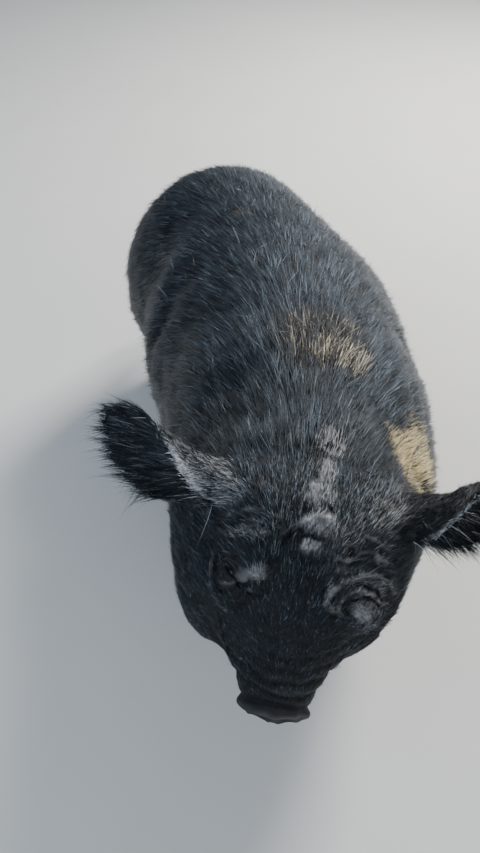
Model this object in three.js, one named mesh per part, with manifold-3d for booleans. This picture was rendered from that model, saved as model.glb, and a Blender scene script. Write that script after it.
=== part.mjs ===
// A stout, black, pot-bellied pig, standing with its body curved to its right.
//
// Millimetres, +Z up. The pig faces -Y and its left side is +X. The flesh is one distance field, made of
// rounded masses that melt into each other. It is meshed piece by piece and parted by thin cuts.
// The masses are placed on a straight pig and bent afterwards round one upright circle.

import * as THREE from "three";
import { mergeVertices } from "three/addons/utils/BufferGeometryUtils.js";
import Module from "manifold-3d";

// ---------------------------------------------------------------- driving dimensions

const GAP = 0.3; // width of the cut between two pieces
const BEND_RADIUS = 1250; // the spine's circle, its centre on the pig's right

const BACK = 548; // height of the back
const BELLY = 88; // height of the lowest point of the belly
const GIRTH = 262; // half the width of the barrel
const SHOULDER_WIDTH = 240; // half the width at the shoulders
const RUMP_WIDTH = 240; // half the width over the haunches
const HIP_LINE = 590; // distance from the withers to the hips
const RUMP_END = 775; // distance from the withers to the buttocks
const STANCE = 126; // half the track of the feet

const EYES = { ahead: 320, height: 440, apart: 168, left: 18 };
const HEAD_PITCH = 28; // degrees that the muzzle points below the level
const HEAD_YAW = 8; // degrees that the head turns back to the left
const HEAD_ROLL = 10; // degrees that the left eye is lower
const MUZZLE = 165; // from the line of the eyes to the nose disc
const DISC = { width: 102, height: 84, thick: 18 };
const EYE_RADIUS = 13;
const EAR = { length: 238, width: 164, thick: 10, buried: 56 };
const TAIL = { length: 235, root: 26, tip: 9, bow: 78, drift: 16 };
const TUFT = { radius: 17, at: 0.86, long: 0.11 }; // on the tail, its place and length as shares

const CORONET = 36; // height of the tops of the claws
const CLAW = { length: 64, width: 35, splay: 5, cleft: 5.2, forward: -8, toeLean: 20, heelLean: 4 };

// ---------------------------------------------------------------- frames

const radians = THREE.MathUtils.degToRad;
const moved = (x, y, z) => new THREE.Matrix4().makeTranslation(x, y, z);
const pitched = (degrees) => new THREE.Matrix4().makeRotationX(radians(degrees));

// A frame on the bent body: x to the pig's left, y towards the tail, z up.
function bodyFrame(x, y, z) {
  const turn = y / BEND_RADIUS;
  const reach = BEND_RADIUS + x;
  const place = new THREE.Vector3(reach * Math.cos(turn) - BEND_RADIUS, reach * Math.sin(turn), z);
  return new THREE.Matrix4().makeRotationZ(turn).setPosition(place);
}

// The point of the straight pig that lies at a point of the bent one.
function straighten([x, y, z]) {
  const across = x + BEND_RADIUS;
  return [Math.hypot(across, y) - BEND_RADIUS, BEND_RADIUS * Math.atan2(y, across), z];
}

// The head's frame: its origin between the eyes, y away from the snout.
const headFrame = bodyFrame(EYES.left, -EYES.ahead, EYES.height).multiply(
  new THREE.Matrix4().makeRotationFromEuler(
    new THREE.Euler(radians(HEAD_PITCH), radians(HEAD_ROLL), radians(HEAD_YAW), "ZYX"),
  ),
);
const toHead = headFrame.clone().invert();
const onHead = (...frames) => frames.reduce((all, frame) => all.multiply(frame), headFrame.clone());

// ---------------------------------------------------------------- rounded masses

// Distance to an ellipsoid, near enough close to its surface.
function egg(centre, radii, melt = 45) {
  const distance = (p) => {
    let near = 0;
    let steep = 0;
    for (let i = 0; i < 3; i++) {
      const share = (p[i] - centre[i]) / radii[i];
      near += share * share;
      steep += (share / radii[i]) ** 2;
    }
    near = Math.sqrt(near);
    return steep > 0 ? (near * (near - 1)) / Math.sqrt(steep) : -Math.min(...radii);
  };
  return { distance, melt };
}

// Distance to a limb that tapers from one round end to the other.
function taper(from, to, startRadius, endRadius, melt = 30) {
  const way = to.map((v, i) => v - from[i]);
  const square = way.reduce((sum, v) => sum + v * v, 0);
  const distance = (p) => {
    const along = way.reduce((sum, v, i) => sum + v * (p[i] - from[i]), 0) / square;
    const t = Math.min(1, Math.max(0, along));
    const off = Math.hypot(...p.map((v, i) => v - from[i] - t * way[i]));
    return off - (startRadius + t * (endRadius - startRadius));
  };
  return { distance, melt };
}

const mirrored = ([x, y, z]) => [-x, y, z];
const left = (p) => p;
const right = mirrored;
const both = (make) => [make(left), make(right)];

// The smooth union of some masses.
function melted(masses, p, start = 1e6) {
  let all = start;
  for (const { distance, melt } of masses) {
    const d = distance(p);
    const overlap = Math.max(melt - Math.abs(all - d), 0);
    all = Math.min(all, d) - (overlap * overlap) / (4 * melt);
  }
  return all;
}

// ---------------------------------------------------------------- the masses of the body

const MIDDLE = (BACK + BELLY) / 2;
const DEPTH = (BACK - BELLY) / 2;
const HAM = RUMP_END - HIP_LINE;

const torso = [
  egg([0, 290, MIDDLE], [GIRTH - 6, 370, DEPTH - 6], 90),
  egg([0, 270, MIDDLE - 52], [GIRTH - 34, 280, DEPTH - 54], 90),
  egg([0, 40, MIDDLE + 14], [SHOULDER_WIDTH - 34, 190, DEPTH - 26], 90),
  egg([0, 320, BACK - 128], [150, 420, 118], 90),
  egg([0, HIP_LINE, 348], [RUMP_WIDTH - 46, HAM - 8, 188], 80),
  ...both((side) => egg(side([SHOULDER_WIDTH - 110, 15, 296]), [104, 140, 180], 60)),
  ...both((side) => egg(side([RUMP_WIDTH - 118, HIP_LINE + 8, 290]), [110, 144, 182], 60)),
];

const neck = [
  egg([0, -120, 350], [200, 170, 168], 80),
  egg([0, -170, 428], [128, 150, 98], 70),
  egg([0, -110, 284], [150, 150, 112], 70),
];

// How far ahead of its usual place a leg is at some height, from how far its foot is.
const HINGE = 260; // the height about which a leg swings
const ahead = (stride, height) => stride * (1 - height / HINGE);

// Each leg's joints from the top down.
function foreleg(side, stride) {
  const foot = (x, y, z) => side([x, y - ahead(stride, z), z]);
  return [
    taper(foot(122, 28, 215), foot(STANCE, 14, 125), 72, 47, 40),
    taper(foot(STANCE, 14, 125), foot(STANCE, 18, 72), 45, 34),
    taper(foot(STANCE, 18, 72), foot(STANCE + 2, 2, 30), 36, 38, 16),
  ];
}

function hindleg(side, stride) {
  const foot = (x, y, z) => side([x, y - ahead(stride, z), z]);
  return [
    taper(foot(128, HIP_LINE + 20, 235), foot(STANCE, HIP_LINE + 78, 152), 92, 48, 45),
    taper(foot(STANCE, HIP_LINE + 78, 152), foot(STANCE, HIP_LINE + 58, 76), 45, 34),
    taper(foot(STANCE, HIP_LINE + 58, 76), foot(STANCE + 2, HIP_LINE + 40, 30), 36, 38, 16),
  ];
}

const LEGS = [
  { name: "front_left", side: left, make: foreleg, stride: 24, foot: [STANCE + 2, 2] },
  { name: "front_right", side: right, make: foreleg, stride: -14, foot: [STANCE + 2, 2] },
  { name: "hind_left", side: left, make: hindleg, stride: -12, foot: [STANCE + 2, HIP_LINE + 40] },
  { name: "hind_right", side: right, make: hindleg, stride: 22, foot: [STANCE + 2, HIP_LINE + 40] },
];

const body = [...torso, ...neck, ...LEGS.flatMap((leg) => leg.make(leg.side, leg.stride))];

// ---------------------------------------------------------------- the masses of the head

const EYE = [EYES.apart / 2, 0, 0];

const skull = [
  egg([0, 104, -46], [112, 104, 98]),
  egg([0, 34, -36], [86, 66, 62], 40),
  ...both((side) => egg(side([82, 104, -4]), [54, 54, 50])),
  ...both((side) => egg(side([60, 14, 4]), [40, 38, 28], 26)),
  egg([84, 34, -90], [74, 98, 84], 40),
  egg([-90, 34, -90], [78, 98, 84], 40),
  egg([78, -14, -88], [60, 76, 60], 40),
  egg([-90, -16, -88], [62, 84, 62], 40),
  egg([92, 102, -122], [76, 92, 78], 40),
  egg([-100, 102, -122], [80, 92, 78], 40),
  ...both((side) => egg(side([40, -34, -62]), [48, 74, 50], 36)),
  taper([0, 6, -60], [0, -MUZZLE + 46, -42], 82, 57, 40),
  egg([0, -MUZZLE + 10, -42], [DISC.width / 2, DISC.thick, DISC.height / 2], 12),
  taper([0, 62, -126], [0, -MUZZLE + 60, -84], 70, 34, 40),
];

// The whole animal without its ears, tail, eyes and claws.
const flesh = (p) => {
  const inHead = new THREE.Vector3(...p).applyMatrix4(toHead).toArray();
  const head = { distance: () => melted(skull, inHead), melt: 70 };
  return melted([head], p, melted(body, straighten(p)));
};

// ---------------------------------------------------------------- meshing

// Wraps a field's surface inside a box with one net of quads, one knot in each cell that it crosses.
function wrap(field, low, high, cell) {
  const count = low.map((v, i) => Math.ceil((high[i] - v) / cell) + 1);
  const at = (i, j, k) => (i * count[1] + j) * count[2] + k;
  const corner = (i, j, k) => [low[0] + i * cell, low[1] + j * cell, low[2] + k * cell];
  const values = new Float32Array(count[0] * count[1] * count[2]);
  for (let i = 0; i < count[0]; i++)
    for (let j = 0; j < count[1]; j++)
      for (let k = 0; k < count[2]; k++) {
        const rim = [i, j, k].some((v, axis) => v === 0 || v === count[axis] - 1);
        values[at(i, j, k)] = rim ? cell : field(corner(i, j, k));
      }
  const points = [];
  const knots = new Map();
  const knot = (i, j, k) => {
    const key = at(i, j, k);
    if (!knots.has(key)) {
      knots.set(key, points.length / 3);
      points.push(...settle(field, crossing(values, at, corner, cell, [i, j, k]), cell));
    }
    return knots.get(key);
  };
  const faces = [];
  const steps = [[1, 0, 0], [0, 1, 0], [0, 0, 1]];
  for (let i = 0; i < count[0] - 1; i++)
    for (let j = 0; j < count[1] - 1; j++)
      for (let k = 0; k < count[2] - 1; k++)
        steps.forEach(([a, b, c], axis) => {
          const here = values[at(i, j, k)] < 0;
          if (here === values[at(i + a, j + b, k + c)] < 0) return;
          const [u, v] = [steps[(axis + 1) % 3], steps[(axis + 2) % 3]];
          const quad = [[0, 0], [1, 0], [1, 1], [0, 1]].map(([m, n]) =>
            knot(i - m * u[0] - n * v[0], j - m * u[1] - n * v[1], k - m * u[2] - n * v[2]),
          );
          if (here) quad.reverse();
          faces.push(quad[0], quad[2], quad[1], quad[0], quad[3], quad[2]);
        });
  return new THREE.BufferGeometry()
    .setAttribute("position", new THREE.Float32BufferAttribute(points, 3))
    .setIndex(faces);
}

// The middle of the places where a cell's edges cross the surface.
function crossing(values, at, corner, cell, [i, j, k]) {
  const sum = [0, 0, 0];
  let hits = 0;
  for (let axis = 0; axis < 3; axis++)
    for (let m = 0; m < 2; m++)
      for (let n = 0; n < 2; n++) {
        const start = [i, j, k];
        start[(axis + 1) % 3] += m;
        start[(axis + 2) % 3] += n;
        const end = [...start];
        end[axis] += 1;
        const [a, b] = [values[at(...start)], values[at(...end)]];
        if (a < 0 === b < 0) continue;
        const point = corner(...start);
        point[axis] += (cell * a) / (a - b);
        point.forEach((v, s) => (sum[s] += v));
        hits++;
      }
  return sum.map((v) => v / hits);
}

// Moves a knot onto the surface, by no more than a quarter of a cell.
function settle(field, point, cell) {
  const step = cell / 20;
  const value = field(point);
  const slope = point.map((v, axis) => {
    const beside = [...point];
    beside[axis] += step;
    return (field(beside) - value) / step;
  });
  const square = slope.reduce((sum, v) => sum + v * v, 1e-9);
  const move = THREE.MathUtils.clamp(value / Math.sqrt(square), -cell / 4, cell / 4);
  return point.map((v, axis) => v - (move * slope[axis]) / Math.sqrt(square));
}

// ---------------------------------------------------------------- solids, joins and cuts

const wasm = await Module();
wasm.setup();

// A closed geometry as a solid, its shared corners merged.
function solid(geometry, frame = new THREE.Matrix4()) {
  const places = geometry.attributes.position;
  const seen = new Map();
  const corners = [];
  const point = new THREE.Vector3();
  const ids = Array.from({ length: places.count }, (_, i) => {
    point.fromBufferAttribute(places, i).applyMatrix4(frame);
    const key = point.toArray().map((v) => Math.round(v * 1e3)).join();
    if (!seen.has(key)) {
      seen.set(key, seen.size);
      corners.push(...point);
    }
    return seen.get(key);
  });
  const order = geometry.index ? Array.from(geometry.index.array) : ids.map((_, i) => i);
  const triangles = [];
  for (let i = 0; i < order.length; i += 3) {
    const [a, b, c] = [ids[order[i]], ids[order[i + 1]], ids[order[i + 2]]];
    if (a !== b && b !== c && c !== a) triangles.push(a, b, c);
  }
  return new wasm.Manifold(
    new wasm.Mesh({
      numProp: 3,
      vertProperties: new Float32Array(corners),
      triVerts: new Uint32Array(triangles),
    }),
  );
}

function geometryOf(shape) {
  const { numProp, vertProperties, triVerts } = shape.getMesh();
  const points = new Float32Array((vertProperties.length / numProp) * 3);
  for (let i = 0; i < points.length / 3; i++)
    points.set(vertProperties.subarray(i * numProp, i * numProp + 3), i * 3);
  return new THREE.BufferGeometry()
    .setAttribute("position", new THREE.BufferAttribute(points, 3))
    .setIndex(new THREE.BufferAttribute(triVerts, 1));
}

const largest = (shape) => shape.decompose().reduce((a, b) => (b.volume() > a.volume() ? b : a));

// A plane through a frame's origin. Its front is the side that the frame's y axis leaves.
function cutPlane(frame) {
  const normal = new THREE.Vector3(0, 1, 0).transformDirection(frame);
  const offset = normal.dot(new THREE.Vector3().setFromMatrixPosition(frame));
  const facing = normal.toArray();
  const away = normal.negate().toArray();
  return {
    behind: (shape, inset = GAP / 2) => shape.trimByPlane(facing, offset + inset),
    before: (shape, inset = GAP / 2) => shape.trimByPlane(away, inset - offset),
  };
}

// Turns a mirrored geometry's faces out again.
function turnedOut(geometry, frame) {
  if (frame.determinant() < 0) {
    const index = geometry.index.array;
    for (let i = 0; i < index.length; i += 3) [index[i], index[i + 1]] = [index[i + 1], index[i]];
  }
  return geometry;
}

// A geometry with its surface moved outwards by a margin.
function swollen(geometry, margin) {
  const bare = new THREE.BufferGeometry().setIndex(geometry.index);
  const whole = mergeVertices(bare.setAttribute("position", geometry.attributes.position), 1e-3);
  whole.computeVertexNormals();
  const { position, normal } = whole.attributes;
  const point = new THREE.Vector3();
  const away = new THREE.Vector3();
  for (let i = 0; i < position.count; i++) {
    away.fromBufferAttribute(normal, i);
    point.fromBufferAttribute(position, i).addScaledVector(away, margin);
    position.setXYZ(i, ...point);
  }
  return whole;
}

// ---------------------------------------------------------------- materials

const finish = (color, roughness) => new THREE.MeshStandardMaterial({ color, roughness });
const COAT = [0x1c1e22, 0.75];
const BARE_SKIN = [0x2a2829, 0.6];
const EYEBALL = [0x140c08, 0.15];
const HORN = [0x2b2622, 0.5];

const pig = new THREE.Group();

function add(name, geometry, look) {
  const mesh = new THREE.Mesh(geometry, finish(...look));
  mesh.name = name;
  pig.add(mesh);
  return mesh;
}

function placed(name, geometry, look, frame) {
  const mesh = add(name, geometry, look);
  frame.decompose(mesh.position, mesh.quaternion, mesh.scale);
  return mesh;
}

// ---------------------------------------------------------------- legs and claws

const LEG_CELL = 36;
const DEWCLAW = { out: 18, back: 46, height: 68, lean: 24, turn: 8, radii: [8.5, 9, 17] };
const LEG_TOP = 345; // above the highest point of a leg's piece
const HIND_SOCKET = { radii: [94, 134, 250], height: 90, out: 134, back: -8 };
const FORE_SOCKET = { radii: [88, 104, 222], height: 80, out: 130, back: 12 };

// The rounded socket in which a leg meets the trunk, larger by the given margin.
function legSocket({ side, foot }, margin) {
  const { radii, height, out, back } = foot[1] > HIP_LINE / 2 ? HIND_SOCKET : FORE_SOCKET;
  const ball = new THREE.SphereGeometry(1, 14, 9).rotateX(Math.PI / 2);
  ball.scale(...radii.map((r) => r + margin));
  const [x, y] = side([out, foot[1] + back, 0]);
  return solid(ball, bodyFrame(x, y, height));
}

// One claw: flat on the ground, its toe pointing ahead and its front wall leaning back.
function claw(length, width, height) {
  const shape = new THREE.CylinderGeometry(1, 1, height, 14, 1).rotateX(Math.PI / 2);
  const places = shape.attributes.position;
  for (let i = 0; i < places.count; i++) {
    const [x, y, z] = [places.getX(i), places.getY(i), places.getZ(i)];
    const rise = z / height + 0.5;
    const toe = -length / 2 + rise * CLAW.toeLean;
    const heel = length / 2 - rise * CLAW.heelLean;
    const narrow = y < 0 ? 1 - 0.3 * y * y : 1;
    const across = x * narrow * (1 - 0.1 * rise) * (width / 2);
    places.setXYZ(i, across, toe + ((y + 1) / 2) * (heel - toe), z + height / 2);
  }
  return shape;
}

// A frame in a leg at some height, upright and as wide of the body's line as the foot is.
function footFrame({ side, foot, stride }, height) {
  const [x, y] = side([foot[0], foot[1] - ahead(stride, height), 0]);
  return bodyFrame(x, y, 0);
}

function dewclaw(margin) {
  return new THREE.SphereGeometry(1, 8, 5).scale(...DEWCLAW.radii.map((r) => r + margin));
}

function dewclawFrame(leg, way) {
  const lean = new THREE.Matrix4().makeRotationFromEuler(
    new THREE.Euler(radians(DEWCLAW.lean), radians(DEWCLAW.turn * way), 0),
  );
  const place = moved(way * DEWCLAW.out, DEWCLAW.back, DEWCLAW.height);
  return footFrame(leg, DEWCLAW.height).multiply(place).multiply(lean);
}

function clawFrame(leg, way) {
  const turn = new THREE.Matrix4().makeRotationZ(radians(CLAW.splay * way));
  const place = moved(way * (CLAW.width / 2 + CLAW.cleft / 2), CLAW.forward, 0);
  return footFrame(leg, CORONET / 2).multiply(place).multiply(turn);
}

function addLeg(leg) {
  const ankle = new THREE.Vector3().setFromMatrixPosition(footFrame(leg, CORONET));
  const low = [ankle.x - 150, ankle.y - 160, CORONET - 25];
  const high = [ankle.x + 150, ankle.y + 160, LEG_TOP];
  let shape = solid(wrap(flesh, low, high, LEG_CELL));
  shape = shape.trimByPlane([0, 0, 1], CORONET + GAP).intersect(legSocket(leg, -GAP / 2));
  for (const way of [-1, 1]) {
    const place = way * leg.side([1, 0, 0])[0] > 0 ? "outer" : "inner";
    const nub = dewclawFrame(leg, way);
    shape = shape.subtract(solid(dewclaw(GAP), nub));
    placed(`${leg.name}_dewclaw_${place}`, dewclaw(0), HORN, nub);
    placed(
      `${leg.name}_claw_${place}`,
      claw(CLAW.length, CLAW.width, CORONET),
      HORN,
      clawFrame(leg, way),
    );
  }
  add(`${leg.name}_leg`, geometryOf(largest(shape)), COAT);
}

// ---------------------------------------------------------------- ears

const EAR_ROOT = [120, 106, 8]; // on the left of the head's frame
const EAR_BACK = [-0.2, 0.78, 0.52]; // the way that the back of the left ear faces
const EAR_ROLL = { root: 36, tip: 100 }; // the radius that the leaf is rolled to
const EAR_TWIST = { root: -44, tip: 52 }; // how far the leaf's back is turned down
const EAR_SWEEP = 36; // how far the tip curves back
const EAR_SLANT = 20; // how much further out the front edge leaves the head than the back edge
const EAR_TURN = { from: 0.16, over: 0.7 }; // the stretch of the ear that twists, as shares of its length
const EAR_TAPER = { root: 1.04, lost: 0.34 }; // the ear's width at its root, and what it loses by the tip
const EAR_FLESH = { root: 1.45, lost: 0.9 }; // the same for its thickness
const EAR_DRIFT = 10; // how far the tip is moved across
const EAR_GAP = 0.9; // how far the sockets of the ears stand off the leaves
const EARS = [
  { name: "left", way: 1, along: [0.88, 0.18, 0.3] },
  { name: "right", way: -1, along: [0.9, 0.12, 0.14] },
];

// One ear as a thin leaf, rolled into a cup at its root: x along it, y across it, z out of its back.
function ear() {
  const leaf = new THREE.SphereGeometry(1, 12, 15).rotateX(Math.PI / 2).rotateY(Math.PI / 2);
  const places = leaf.attributes.position;
  for (let i = 0; i < places.count; i++) {
    const [x, y, z] = [places.getX(i), places.getY(i), places.getZ(i)];
    const along = (x + 1) / 2;
    const half = (EAR.width / 2) * (EAR_TAPER.root - EAR_TAPER.lost * along * along);
    const radius = THREE.MathUtils.lerp(EAR_ROLL.root, EAR_ROLL.tip, along * along);
    const turned = THREE.MathUtils.clamp((along - EAR_TURN.from) / EAR_TURN.over, 0, 1);
    const twist = THREE.MathUtils.lerp(EAR_TWIST.root, EAR_TWIST.tip, turned * (2 - turned));
    const angle = (y * half) / radius;
    const out = radius + z * EAR.thick * (EAR_FLESH.root - EAR_FLESH.lost * along);
    const sink = radius - EAR_ROLL.root * (1 - along);
    const across = out * Math.sin(angle) + EAR_DRIFT * along;
    const section = new THREE.Vector2(across, out * Math.cos(angle) - sink);
    section.rotateAround(new THREE.Vector2(), -radians(twist));
    section.y += EAR_SWEEP * along ** 3;
    places.setXYZ(
      i,
      along * EAR.length - EAR.buried - y * EAR_SLANT * (1 - along),
      section.x,
      section.y,
    );
  }
  return leaf;
}

// The ear's root on the head, and the ear turned out, up and back from there.
function earFrame({ way, along }) {
  const length = new THREE.Vector3(...along).normalize();
  const across = new THREE.Vector3(...EAR_BACK).cross(length).normalize();
  const leaf = new THREE.Matrix4().makeBasis(length, across, length.clone().cross(across));
  const mirror = new THREE.Matrix4().makeScale(way, 1, 1);
  return onHead(mirror, moved(...EAR_ROOT), pitched(-HEAD_PITCH), leaf);
}

// ---------------------------------------------------------------- head

const HEAD_CELL = 25.5;
const NECK_CELL = 43;
const NAPE = 136; // from the eyes back to the cut behind the ears
const BLOCK = [600, 600, 600]; // holds the whole head
const LIPS = { height: -84, rise: 4, corner: -66 };
const NAPE_LEAN = -22;
const SOCKET = { out: 10, ahead: -24, up: 5, radii: [25, 27, 19] };
const NOSTRIL = { out: 19, up: -36, radii: [9, 20, 12] };

const eyeBall = (margin) => new THREE.SphereGeometry(EYE_RADIUS + margin, 10, 7);
const eyeFrame = (way) => onHead(moved(way * EYE[0], -2, 0));

// The hollow that an eye sits in.
function socket(way) {
  const hollow = new THREE.SphereGeometry(1, 12, 8).rotateX(Math.PI / 2).scale(...SOCKET.radii);
  return solid(hollow, onHead(moved(way * (EYE[0] + SOCKET.out), SOCKET.ahead, SOCKET.up)));
}

function nostril(way) {
  const hole = new THREE.SphereGeometry(1, 8, 6).scale(...NOSTRIL.radii);
  return solid(hole, onHead(moved(way * NOSTRIL.out, -MUZZLE - 10, NOSTRIL.up)));
}

const nape = cutPlane(onHead(moved(0, NAPE, 0), pitched(NAPE_LEAN)));
const withoutEars = (shape) => EARS.reduce((rest, side) => {
  const frame = earFrame(side);
  return rest.subtract(solid(turnedOut(swollen(ear(), EAR_GAP), frame), frame));
}, shape);

function addHead() {
  const middle = new THREE.Vector3().setFromMatrixPosition(headFrame);
  const low = [middle.x - 225, middle.y - 225, middle.z - 270];
  const high = [middle.x + 225, middle.y + 240, middle.z + 170];
  let whole = withoutEars(nape.before(solid(wrap(flesh, low, high, HEAD_CELL))));
  for (const side of EARS) {
    const root = earFrame(side);
    add(`ear_${side.name}`, turnedOut(ear(), root).applyMatrix4(root), COAT);
    whole = whole.subtract(socket(side.way)).subtract(solid(eyeBall(GAP), eyeFrame(side.way)));
    placed(`eye_${side.name}`, eyeBall(0), EYEBALL, eyeFrame(side.way));
  }
  const noseCut = cutPlane(onHead(moved(0, -MUZZLE + 12, 0)));
  const lips = cutPlane(onHead(moved(0, LIPS.corner, LIPS.height), pitched(90 + LIPS.rise)));
  const corner = cutPlane(onHead(moved(0, LIPS.corner, 0)));
  const face = noseCut.behind(whole);
  const jaw = lips.before(corner.before(face));
  const block = solid(new THREE.BoxGeometry(...BLOCK), headFrame);
  const upper = face.subtract(lips.before(corner.before(block, -GAP / 2), -GAP / 2));
  add("jaw", geometryOf(largest(jaw)), COAT);
  const snout = noseCut.before(whole).subtract(nostril(1)).subtract(nostril(-1));
  add("snout", geometryOf(largest(snout)), BARE_SKIN);
  add("head", geometryOf(largest(upper)), COAT);
}

// ---------------------------------------------------------------- tail

const TAIL_ROOT = [0, RUMP_END - 42, 424];

// The hanging tail: thick at its root, thin at its end, with the outline of its tuft.
function tail(margin) {
  const steps = 12;
  const profile = [];
  for (let i = 0; i <= steps; i++) {
    const along = i / steps;
    const stem = THREE.MathUtils.lerp(TAIL.root, TAIL.tip, Math.sqrt(along));
    const tuft = TUFT.radius * Math.exp(-(((along - TUFT.at) / TUFT.long) ** 2));
    const radius = i === 0 || i === steps ? 0 : Math.max(stem, tuft) + margin;
    profile.push(new THREE.Vector2(radius, along * TAIL.length));
  }
  const rod = new THREE.LatheGeometry(profile, 10);
  const places = rod.attributes.position;
  for (let i = 0; i < places.count; i++) {
    const along = places.getY(i) / TAIL.length;
    const out = TAIL.bow * Math.sin(along * 1.25) ** 0.9;
    const aside = TAIL.drift * along * along;
    places.setXYZ(i, places.getX(i) + aside, places.getZ(i) + out, -places.getY(i));
  }
  return rod;
}

// ---------------------------------------------------------------- the pig

const TRUNK_CELL = 64;
const SHOULDER_CUT = { back: -70, height: 400, lean: -6 };

addHead();
const shoulderFrame = bodyFrame(0, SHOULDER_CUT.back, SHOULDER_CUT.height);
const shoulder = cutPlane(shoulderFrame.multiply(pitched(SHOULDER_CUT.lean)));

const neckBlock = solid(wrap(flesh, [-330, -420, 70], [260, 60, 620], NECK_CELL));
add("neck", geometryOf(largest(withoutEars(shoulder.before(nape.behind(neckBlock))))), COAT);

let trunk = shoulder.behind(solid(wrap(flesh, [-600, -230, 50], [340, 850, 620], TRUNK_CELL)));
for (const leg of LEGS) trunk = trunk.subtract(legSocket(leg, GAP / 2));
const tailFrame = bodyFrame(...TAIL_ROOT);
trunk = trunk.subtract(solid(tail(GAP), tailFrame));
add("trunk", geometryOf(largest(trunk)), COAT);
placed("tail", tail(0), COAT, tailFrame);

LEGS.forEach(addLeg);

// The origin lies on the ground, below the middle of the animal.
const middle = new THREE.Box3().setFromObject(pig).getCenter(new THREE.Vector3());
pig.position.set(-middle.x, -middle.y, 0);

export default pig;
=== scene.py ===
"""A life-size pot-bellied pig: hide, bristle coat, eyes and claws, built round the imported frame."""

import math

import bpy
import numpy as np
from mathutils import Matrix, Vector
from mathutils.bvhtree import BVHTree
from mathutils.kdtree import KDTree


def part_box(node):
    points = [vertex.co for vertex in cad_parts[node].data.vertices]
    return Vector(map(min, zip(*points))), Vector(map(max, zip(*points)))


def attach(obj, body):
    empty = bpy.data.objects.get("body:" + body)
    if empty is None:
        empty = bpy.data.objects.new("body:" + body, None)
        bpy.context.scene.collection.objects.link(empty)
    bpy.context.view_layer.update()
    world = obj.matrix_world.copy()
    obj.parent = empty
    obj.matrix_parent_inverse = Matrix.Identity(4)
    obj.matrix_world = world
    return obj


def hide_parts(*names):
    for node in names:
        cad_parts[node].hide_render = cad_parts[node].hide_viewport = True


bl_info = {
    "name": "Pot-bellied pig",
    "version": (1, 0, 0),
    "blender": (4, 5, 0),
    "location": "View3D > Sidebar > Pig",
    "description": "Builds the hide, coat, eyes and claws of a standing black pig",
    "category": "Object",
}

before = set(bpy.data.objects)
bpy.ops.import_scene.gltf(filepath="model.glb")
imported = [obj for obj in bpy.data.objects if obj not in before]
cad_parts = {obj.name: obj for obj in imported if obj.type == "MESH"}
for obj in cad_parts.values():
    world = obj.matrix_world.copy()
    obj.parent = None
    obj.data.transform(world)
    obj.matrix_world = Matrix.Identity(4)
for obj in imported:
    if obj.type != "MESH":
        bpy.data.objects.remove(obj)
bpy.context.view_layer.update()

LEGS = ("front_left", "front_right", "hind_left", "hind_right")
FLESH = ("head", "jaw", "snout", "neck", "trunk", "tail", "ear_left", "ear_right") + tuple(
    f"{leg}_leg" for leg in LEGS
)

# ------------------------------------------------------------------ where things are on the pig

BEND_RADIUS = 1.25  # the spine's circle, its centre on the pig's right
EYES_ON_BODY = (0.018, -0.320, 0.440)  # the point between the eyes, on the straightened pig
EYE_RADIUS = 0.013
EYE = np.array([0.084, -0.002, 0.0])  # the left eye in the head's frame
SNOUT_DROP = math.atan2(0.042, 0.155)  # how far the nose disc lies below the head's level
EAR_ROOT = (0.120, 0.106, 0.008)
EAR_BACK = (-0.2, 0.78, 0.52)
EAR_ALONG = {"left": (0.88, 0.18, 0.3), "right": (0.9, 0.12, 0.14)}
EAR_LENGTH, EAR_WIDTH, EAR_BURIED, EAR_SWEEP = 0.238, 0.164, 0.056, 0.036
EAR_ROLL = (0.036, 0.100)  # the radius that an ear is rolled to, at its root and tip
EAR_TWIST = (math.radians(-44), math.radians(52))
HEAD_PITCH = math.radians(28)


def unit(v):
    """A vector, or each row of an array, at length one."""
    v = np.asarray(v, float)
    return v / np.maximum(np.linalg.norm(v, axis=-1, keepdims=True), 1e-9)


def centre(node):
    low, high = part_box(node)
    return np.array((low + high) / 2)


def frame_of_head():
    """The head's origin and its axes as rows: to the left, towards the tail, up."""
    eyes = [centre("eye_left"), centre("eye_right")]
    left = unit(eyes[0] - eyes[1])
    middle = (eyes[0] + eyes[1]) / 2
    to_snout = centre("snout") - middle
    ahead = unit(to_snout - left * (to_snout @ left))
    above = np.cross(left, -ahead)
    back = -ahead * math.cos(SNOUT_DROP) - above * math.sin(SNOUT_DROP)
    up = -ahead * math.sin(SNOUT_DROP) + above * math.cos(SNOUT_DROP)
    return middle - back * EYE[1], np.array([left, back, up])


HEAD, HEAD_AXES = frame_of_head()
turn = EYES_ON_BODY[1] / BEND_RADIUS
reach = BEND_RADIUS + EYES_ON_BODY[0]
BODY = HEAD - [reach * math.cos(turn) - BEND_RADIUS, reach * math.sin(turn), EYES_ON_BODY[2]]


def to_head(points):
    return (np.asarray(points) - HEAD) @ HEAD_AXES.T


def from_head(points):
    return np.asarray(points) @ HEAD_AXES + HEAD


def to_body(points):
    """Points on the straightened pig: x to its left, y towards the tail, z up."""
    p = np.asarray(points) - BODY
    across = p[:, 0] + BEND_RADIUS
    return np.stack(
        [np.hypot(across, p[:, 1]) - BEND_RADIUS, BEND_RADIUS * np.arctan2(p[:, 1], across), p[:, 2]], 1
    )


def from_body(x, y, z):
    around = y / BEND_RADIUS
    out = BEND_RADIUS + x
    return np.array([out * math.cos(around) - BEND_RADIUS, out * math.sin(around), z]) + BODY


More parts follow.
